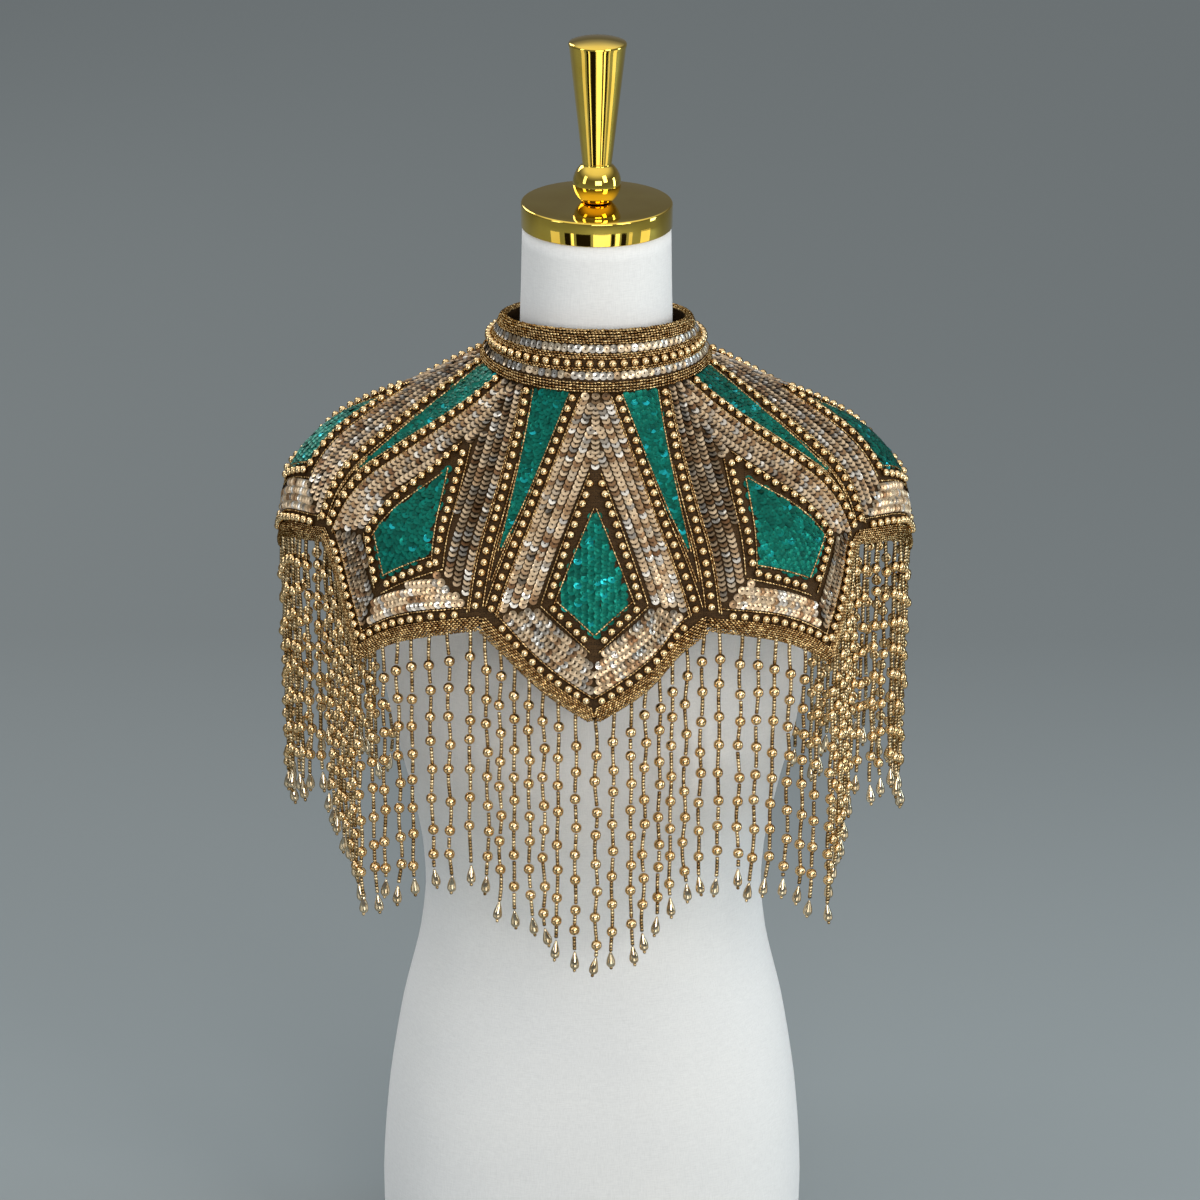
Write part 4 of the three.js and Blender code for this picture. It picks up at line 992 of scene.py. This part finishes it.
seed_gold = bead_finish("seed_gold", (0.20, 0.10, 0.03), (0.92, 0.68, 0.34), 0.15, 1600.0, 0.78)
ROW_LINE = (ROW_START, ROW_CORNER)
RAY_EDGE = (side_place(2, RAY_AT_NECK + 0.6), side_place(RAY_LENGTH, 0.9))
WEDGE_FIRST, WEDGE_STEP, WEDGE_LINES, PAST_CORNER = -4.0, 1.5, 5, 16  # its lines, from the pearl row
TRIM_TOP = 8.2  # the wedge ends this much above the hem
RAY_GAP, SIDE_GAP, KITE_GAP = 1.3, 0.7, 0.6  # how far seeds stay from the ray, a petal's side and centre
BESIDE_PEARLS = ((4.1, 2), (5.5, 3))  # distance from the pearl row and first place of the lines along it
KITE_SEED_LINES = [
    # corner a line starts at and shift from it, corner it ends at and shift, distance from the pearls, start
    (0, (0, -5), 1, (1, 0.5), -4.1, 1), (1, (2, -1), 2, (0, 0), -4.1, 0),
    (0, (0, 6), 1, (0, -1), 4.0, 3), (1, (-3, 1), 2, (0, -4), 4.0, 1),
]


def outline_half(petal, side):
    """Single lines of seeds on both sides of the pearl row and of the kite and along the ray, and
    short lines that fill the wedge between the pearl row, the ray and the petal's side."""
    kite = kite_of(petal, side)
    kite_lines = np.vstack([
        along_line(kite[a] + from_a, kite[b] + from_b, SEED_STEP, aside, first)
        for a, from_a, b, from_b, aside, first in KITE_SEED_LINES
    ])
    kite_lines = kite_lines[beyond(kite[0], kite[2], kite_lines[:, 0], kite_lines[:, 1]) > KITE_GAP]
    past_corner = ROW_CORNER + PAST_CORNER * unit(ROW_CORNER - ROW_START)
    lines = []
    for i in range(WEDGE_LINES):
        aside, first = WEDGE_FIRST - WEDGE_STEP * i, i % 2 * SEED_STEP / 2
        lines.append(along_line(ROW_START, past_corner, SEED_STEP, aside, first))
    wedge = np.vstack(lines)
    x, y = wedge[:, 0], wedge[:, 1]
    rise = (POINT - y) * HEM_X - x * HEM_Y
    in_wedge = (beyond(*RAY_EDGE, x, y) < -RAY_GAP) & (beyond(side_place(0, 0), CORNER, x, y) < -SIDE_GAP)
    row_lines = [along_line(*ROW_LINE, SEED_STEP, aside, first) for aside, first in BESIDE_PEARLS]
    ray_line = along_line(*RAY_EDGE, SEED_STEP)
    return np.vstack([*row_lines, ray_line, wedge[in_wedge & (rise > TRIM_TOP)], kite_lines])


SEED_HEIGHT = 0.95
flat = on_halves(outline_half)
flat = np.column_stack([flat[:, :6], np.full(len(flat), SEED_HEIGHT)])
TRIM = [
    # rise above the hem, height over the cloth
    (14.5, 0.95), (6.9, 1.0), (5.5, 1.4), (4.1, 1.9), (2.7, 2.2), (1.3, 2.0), (-0.1, 1.5),
    (-1.4, 0.6), (-2.4, -0.7),
]
TRIM_SHIFT = 0.95  # each row of the trim starts this much farther on than the one above it
TRIM_FIRST, TRIM_PAST_NOTCH = 1.2, 5
TRIM_UNEVEN_ALONG, TRIM_UNEVEN_RISE = 0.4, 0.06
TRIM_ROW_GAP, TRIM_SIDE_GAP, TRIM_CENTRE_GAP = 3.0, 0.4, 0.2
trim_w = np.arange(TRIM_FIRST, HEM_LENGTH + TRIM_PAST_NOTCH, SEED_STEP)
grid = np.meshgrid(PETALS, [-1.0, 1.0], np.arange(len(TRIM)), trim_w, indexing="ij")
petal, side, trim, w = (v.ravel() for v in grid)
rise, height = np.array(TRIM)[trim.astype(int)].T
w = w + trim * TRIM_SHIFT % SEED_STEP + random.random(len(w)) * TRIM_UNEVEN_ALONG
x, y = hem_place(petal, side * w, rise + random.normal(0, TRIM_UNEVEN_RISE, len(w)))
in_row = beyond(*ROW_LINE, x * side, y) < -TRIM_ROW_GAP
in_petal = beyond(side_place(0, 0), side_place(VALLEY, 0), x * side, y) < -TRIM_SIDE_GAP
inside = (x * side > TRIM_CENTRE_GAP) & np.where(rise > ROW_ABOVE_HEM, in_row, in_petal)
hem_seeds = np.column_stack([petal, x, y, -side * HEM_X, HEM_Y + 0 * w, side, height])[inside]
petal, x, y, run_x, run_y, side, height = np.vstack([flat, hem_seeds]).T
SEED_SKEW, SEED_TILT, COLLAR_SEED_TILT = 0.045, 4, 6  # the skew as a share of the run, tilts in degrees
skew = random.normal(0, SEED_SKEW, len(x))
centres, frames = on_petal(petal, x, y, height, run_x - skew * run_y, run_y + skew * run_x)
frames = tilted(frames, random.normal(0, SEED_TILT, len(x)), random.normal(0, SEED_TILT, len(x)))
seed = tube(SEED_LONG, SEED_HALF, SEED_SIDES)
yoke_seeds = sew_beads("yoke_seeds", seed, centres, frames, seed_gold)

COLLAR_SEED_ROWS = [
    # share of the way up, height over the band
    (0.02, 0.9), (0.065, 1.2), (0.11, 1.3), (0.155, 1.2), (0.35, 1.1), (0.385, 1.2), (0.55, 1.2),
    (0.585, 1.2), (0.622, 1.1), (0.80, 1.2), (0.838, 1.4), (0.88, 1.7), (0.92, 1.9), (0.965, 1.7),
    (1.005, 1.0), (1.02, -0.4), (1.01, -1.7),
]
SEED_FIRST_GAP, SEED_LAST_GAP, SEED_ROW_SHIFT, SEED_ROW_UNEVEN = 0.015, 0.01, 0.01, 0.004
at, row, height = round_collar(COLLAR_SEED_ROWS, SEED_STEP, SEED_FIRST_GAP, SEED_LAST_GAP, SEED_ROW_SHIFT)
centres, frames = on_collar(at, row + random.normal(0, SEED_ROW_UNEVEN, len(row)), height)
tilts = [random.normal(0, COLLAR_SEED_TILT, len(at)) for _ in range(2)]
frames = tilted(frames, *tilts)
collar_seeds = sew_beads("collar_seeds", seed, centres, frames, seed_gold)

# ---- collar closure --------------------------------------------------------------------------
# Two gold ball buttons on the right-hand end of the collar, held in thread loops from the other.
BUTTON, BUTTON_SHARES, BUTTON_ASIDE, BUTTON_SHANK = 3.5, (0.2, 0.75), 4.5, 0.3
button_at = np.pi - BUTTON_ASIDE / COLLAR_TOP
centres, frames = on_collar(np.full(2, button_at), np.array(BUTTON_SHARES), BUTTON + BUTTON_SHANK)
buttons = sew_beads("ball_buttons", ball(BUTTON, 24, 16), centres, frames, pearl_gold)
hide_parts("collar_button_1", "collar_button_2")

LOOP_STEPS, CORD_SIDES, CORD_RADIUS = 40, 6, 0.45
LOOP_HALF, LOOP_ENDS, LOOP_PAST = 2.6, 6, 3.2  # half width, ends from the slit, reach past a button
LOOP_HEIGHT, LOOP_DIP, LOOP_ROUND = 1.2, 0.4, 0.6
CORD_UP = np.array([0.1, 0.2, 0.97])


def carry(path, radius, sides):
    """A round cord carried along a path of points: a ring of points across it at each."""
    along = unit(np.gradient(path, axis=0))
    across = unit(np.cross(along, CORD_UP))
    other = np.cross(along, across)
    turn = np.linspace(0, 2 * np.pi, sides, endpoint=False)[None, :, None]
    ring = path[:, None] + radius * (np.cos(turn) * across[:, None] + np.sin(turn) * other[:, None])
    n = len(path)
    ends = [np.arange(sides)[None, ::-1], (np.arange(sides) + (n - 1) * sides)[None, :]]
    return ring.reshape(-1, 3), [tube_faces(n, sides)] + ends


# From the left end, over the slit, round the button's shank and back.
t = np.linspace(0, 1, LOOP_STEPS)
reach = np.sin(np.pi * t) ** LOOP_ROUND
loop_bearing = (LOOP_ENDS - reach * (LOOP_ENDS + BUTTON_ASIDE + LOOP_PAST)) / COLLAR_TOP - np.pi
spread_up = LOOP_HALF * np.cos(np.pi * t) / COLLAR_HEIGHT
points, quads, ends = [], [], []
for i, share in enumerate(BUTTON_SHARES):
    path = on_collar(loop_bearing, share + spread_up, LOOP_HEIGHT - LOOP_DIP * reach)[0]
    cord_points, (cord_quads, *cord_ends) = carry(path, CORD_RADIUS, CORD_SIDES)
    points.append(cord_points)
    quads.append(cord_quads + i * len(cord_points))
    ends.append(np.vstack(cord_ends) + i * len(cord_points))
THREAD_BROWN = (0.30, 0.17, 0.07)
cord, tree, shader = new_finish("loop_thread", Base_Color=THREAD_BROWN, Roughness=0.6, Sheen_Weight=0.3)
twist = add_noise(tree, object_place(tree), 1500.0)
twist = add_ramp(tree, twist, [(0.3, (0.20, 0.11, 0.04)), (0.7, (0.46, 0.29, 0.13))])
tree.links.new(twist, shader.inputs["Base Color"])
loops = mesh_piece("button_loops", np.vstack(points), [np.vstack(quads), np.vstack(ends)], cord)

# ---- the fringe ------------------------------------------------------------------------------
# A strand every fourteen millimetres along the hem: pearls about every twenty-two millimetres
# on a thread of glass tubes, and a gold teardrop and a seed at the end. Each hangs straight but
# for a lean, and its last stretch has dried with a kink.
STRIP_GAP, STRIP_DEPTH, STRIP_THICK = 0.6, 3, 1.6
STRAND_PITCH, STRAND_ROOT, STRAND_LENGTH, STRAND_SPREAD, STRAND_SWAY = 14, 3, 205, 6, 1.6
HIDDEN = 4.0  # how far a strand runs up behind the rolled edge
NOTCH_GAP, SLIT_SIDE = 2.5, 1.5  # the last strands from a notch, and the slit's one from the slit
KINK_LEAST, KINK_MORE, KINK_FROM, KINK_GROWTH = 1.2, 3.4, 0.84, 1.3
SNAKE, SNAKE_LENGTH, SNAKE_TURN = 0.9, 9.0, 2.1
STRAND_SIDEWAYS = np.array([0.31, 0.95, 0.02])
DROP_LENGTH, DROP_HALF, DROP_COLUMNS = 14.8, 3.4, 12
DROP_NECK, DROP_BELLY = 0.2, 0.77  # the neck's share of the belly's radius, and how far down the belly lies
DROP_STATIONS = np.array([0.1, 0.22, 0.34, 0.46, 0.57, 0.67, 0.76, 0.84, 0.91, 0.965, 0.992])
FRINGE_PEARL, FRINGE_STEP, FIRST_PEARL, PEARLS_EACH = 4.0, 22.0, 20.0, 9
FIRST_VARIES, PEARL_VARIES, BEFORE_DROP = 5, 1.7, 7
TUBE_LONG, TUBE_HALF, TUBE_STEP, TUBE_SIDES = 2.3, 1.42, 2.55, 6
CLEAR_OF_PEARL, CLEAR_OF_DROP = 0.55, 0.6
END_BEAD, END_BEAD_DOWN = 1.3, 1.0
STRANDS_A_SIDE, NUMBERS_A_PETAL = 7, 53
HEM_STATIONS = 4


def scatter(number):
    """A steady scatter from 0 to 1 that a strand's number gives."""
    return np.mod(np.sin(number * 127.1 + 3.7) * 43758.5453, 1)


def hem_point(petal, w, below, height):
    """A point below the hem, straight between the yoke's stations along it."""
    station = HEM_LENGTH / HEM_STATIONS
    before = np.floor(w / station) * station

    def at(v):
        """The point below one station; under the petal's point, where both sides' lines meet."""
        x, y = hem_place(petal, v, -below)
        at_point = np.abs(v) < 1e-9
        x, y = np.where(at_point, 0, x), np.where(at_point, POINT + below / HEM_X, y)
        return on_petal(petal, x, y, height)[0]

    share = ((w - before) / station)[:, None]
    return at(before) * (1 - share) + at(before + station) * share


index = np.arange(-STRANDS_A_SIDE, STRANDS_A_SIDE + 1)
left = np.where(index < 0, index * STRAND_PITCH - STRAND_ROOT / 2, index * STRAND_PITCH)
petal, left_w = (v.ravel() for v in np.meshgrid(PETALS, left, indexing="ij"))
number = petal * NUMBERS_A_PETAL + np.tile(index, len(PETALS))
left_w = np.where((petal == 4) & (left_w == 0), SLIT_SIDE, left_w)
most_w = HEM_LENGTH - NOTCH_GAP - np.where(left_w < 0, 0, STRAND_ROOT)
keep = np.abs(left_w) < most_w
petal, left_w, number = petal[keep], left_w[keep], number[keep]
strip_corners = ((0, 0.0), (0, -STRIP_THICK), (STRAND_ROOT, -STRIP_THICK), (STRAND_ROOT, 0.0))
root = sum(hem_point(petal, left_w + w, STRIP_GAP + STRIP_DEPTH, height) for w, height in strip_corners) / 4
length = STRAND_LENGTH + STRAND_SPREAD * (2 * scatter(number) - 1)
lean = 2 * np.pi * scatter(number + 0.5)
kink = 2 * np.pi * scatter(number + 0.25)
kink_size = KINK_LEAST + KINK_MORE * scatter(number + 0.75)


def strand_point(which, down):
    """The place on a strand at a distance below its root: its lean grows evenly, its kink grows
    over the last sixth, and it snakes a little."""
    share = np.clip(down / length[which], 0, 1)
    late = np.clip((share - KINK_FROM) / (1 - KINK_FROM), 0, 1) ** KINK_GROWTH
    snake = SNAKE * np.sin(down / SNAKE_LENGTH + number[which] * SNAKE_TURN)
    sizes = np.stack([STRAND_SWAY * share, kink_size[which] * late, snake])
    angles = np.stack([lean[which], kink[which], number[which]])
    dx, dy = (sizes * np.cos(angles)).sum(axis=0), (sizes * np.sin(angles)).sum(axis=0)
    return root[which] + np.stack([dx, dy, -down], -1)


def strand_frame(which, down):
    """Directions at places on strands: across, along and out."""
    along = unit(strand_point(which, down + 1.0) - strand_point(which, down - 1.0))
    out = unit(np.cross(along, STRAND_SIDEWAYS))
    return np.stack([np.cross(along, out), along, out], -2)


def string_beads(name, shape, which, down, finish):
    """Beads of one shape threaded on strands at distances below their roots."""
    return sew_beads(name, shape, strand_point(which, down), strand_frame(which, down), finish)


strands = np.arange(len(root))
pearl_which, step = (v.ravel() for v in np.meshgrid(strands, np.arange(PEARLS_EACH), indexing="ij"))
uneven = random.normal(0, PEARL_VARIES, (len(strands), PEARLS_EACH)).ravel()
first_down = FIRST_PEARL + FIRST_VARIES * (scatter(number[pearl_which] + 0.1) - 0.5)
pearl_down = first_down + FRINGE_STEP * step + uneven
keep = pearl_down < length[pearl_which] - DROP_LENGTH - BEFORE_DROP
pearl_which, pearl_down = pearl_which[keep], pearl_down[keep]
fringe_pearl_gold = bead_finish("fringe_pearl_gold", (0.76, 0.51, 0.24), (0.87, 0.64, 0.35), 0.07, 600.0)
fringe_pearls = string_beads("fringe_pearls", ball(FRINGE_PEARL), pearl_which, pearl_down, fringe_pearl_gold)

# Glass tubes fill the thread from one pearl to the next, and from the last one to the drop.
tubes_each = int((STRAND_LENGTH + STRAND_SPREAD + HIDDEN) / TUBE_STEP) + 1
which, tube_step = (v.ravel() for v in np.meshgrid(strands, np.arange(tubes_each), indexing="ij"))
down = tube_step * TUBE_STEP - HIDDEN
NOWHERE = 1e6
pearl_table = np.full((len(strands), PEARLS_EACH), NOWHERE)
pearl_table[pearl_which, step[keep]] = pearl_down
to_pearl = np.abs(down[:, None] - pearl_table[which]).min(axis=1)
free = (down < length[which] - DROP_LENGTH - CLEAR_OF_DROP) & (to_pearl > FRINGE_PEARL + CLEAR_OF_PEARL)
glass_gold = bead_finish("fringe_seed_gold", (0.22, 0.13, 0.045), (0.88, 0.70, 0.42), 0.15, 1500.0, 0.62)
glass_tube = tube(TUBE_LONG, TUBE_HALF, TUBE_SIDES)
fringe_seeds = string_beads("fringe_seeds", glass_tube, which[free], down[free], glass_gold)
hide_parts(*[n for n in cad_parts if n.startswith("fringe_")])


def teardrop():
    """A drop about its thread: a slim neck that swells as a power of a sine down to the belly, and
    below that the lower half of a ball."""
    share = DROP_STATIONS[:, None]
    neck = DROP_NECK + (1 - DROP_NECK) * np.sin(np.pi / 2 * np.minimum(share / DROP_BELLY, 1)) ** 1.5
    bowl = np.sqrt(1 - (np.maximum(share - DROP_BELLY, 0) / (1 - DROP_BELLY)) ** 2)
    radius = DROP_HALF * neck * bowl
    turn = np.linspace(0, 2 * np.pi, DROP_COLUMNS, endpoint=False)[None, :]
    rings = [radius * np.sin(turn), DROP_LENGTH * (share - 0.5) + 0 * turn, radius * np.cos(turn)]
    return closed_body(np.stack(rings, -1), [0, -DROP_LENGTH / 2, 0], [0, DROP_LENGTH / 2, 0])


drop_gold = bead_finish("drop_gold", (0.70, 0.55, 0.35), (0.86, 0.73, 0.52), 0.06, 500.0)
drops = string_beads("fringe_drops", teardrop(), strands, length - DROP_LENGTH / 2, drop_gold)
end_bead = ball(END_BEAD, 8, 6)
end_beads = string_beads("fringe_end_seeds", end_bead, strands, length + END_BEAD_DOWN, glass_gold)

# ---- the beading -----------------------------------------------------------------------------
# The yoke's sequins, pearls and seeds and the fringe's beads, gathered in one list.
beading = [champagne_sequins, emerald_sequins, yoke_pearls, yoke_seeds]
beading += [fringe_pearls, fringe_seeds, drops, end_beads]
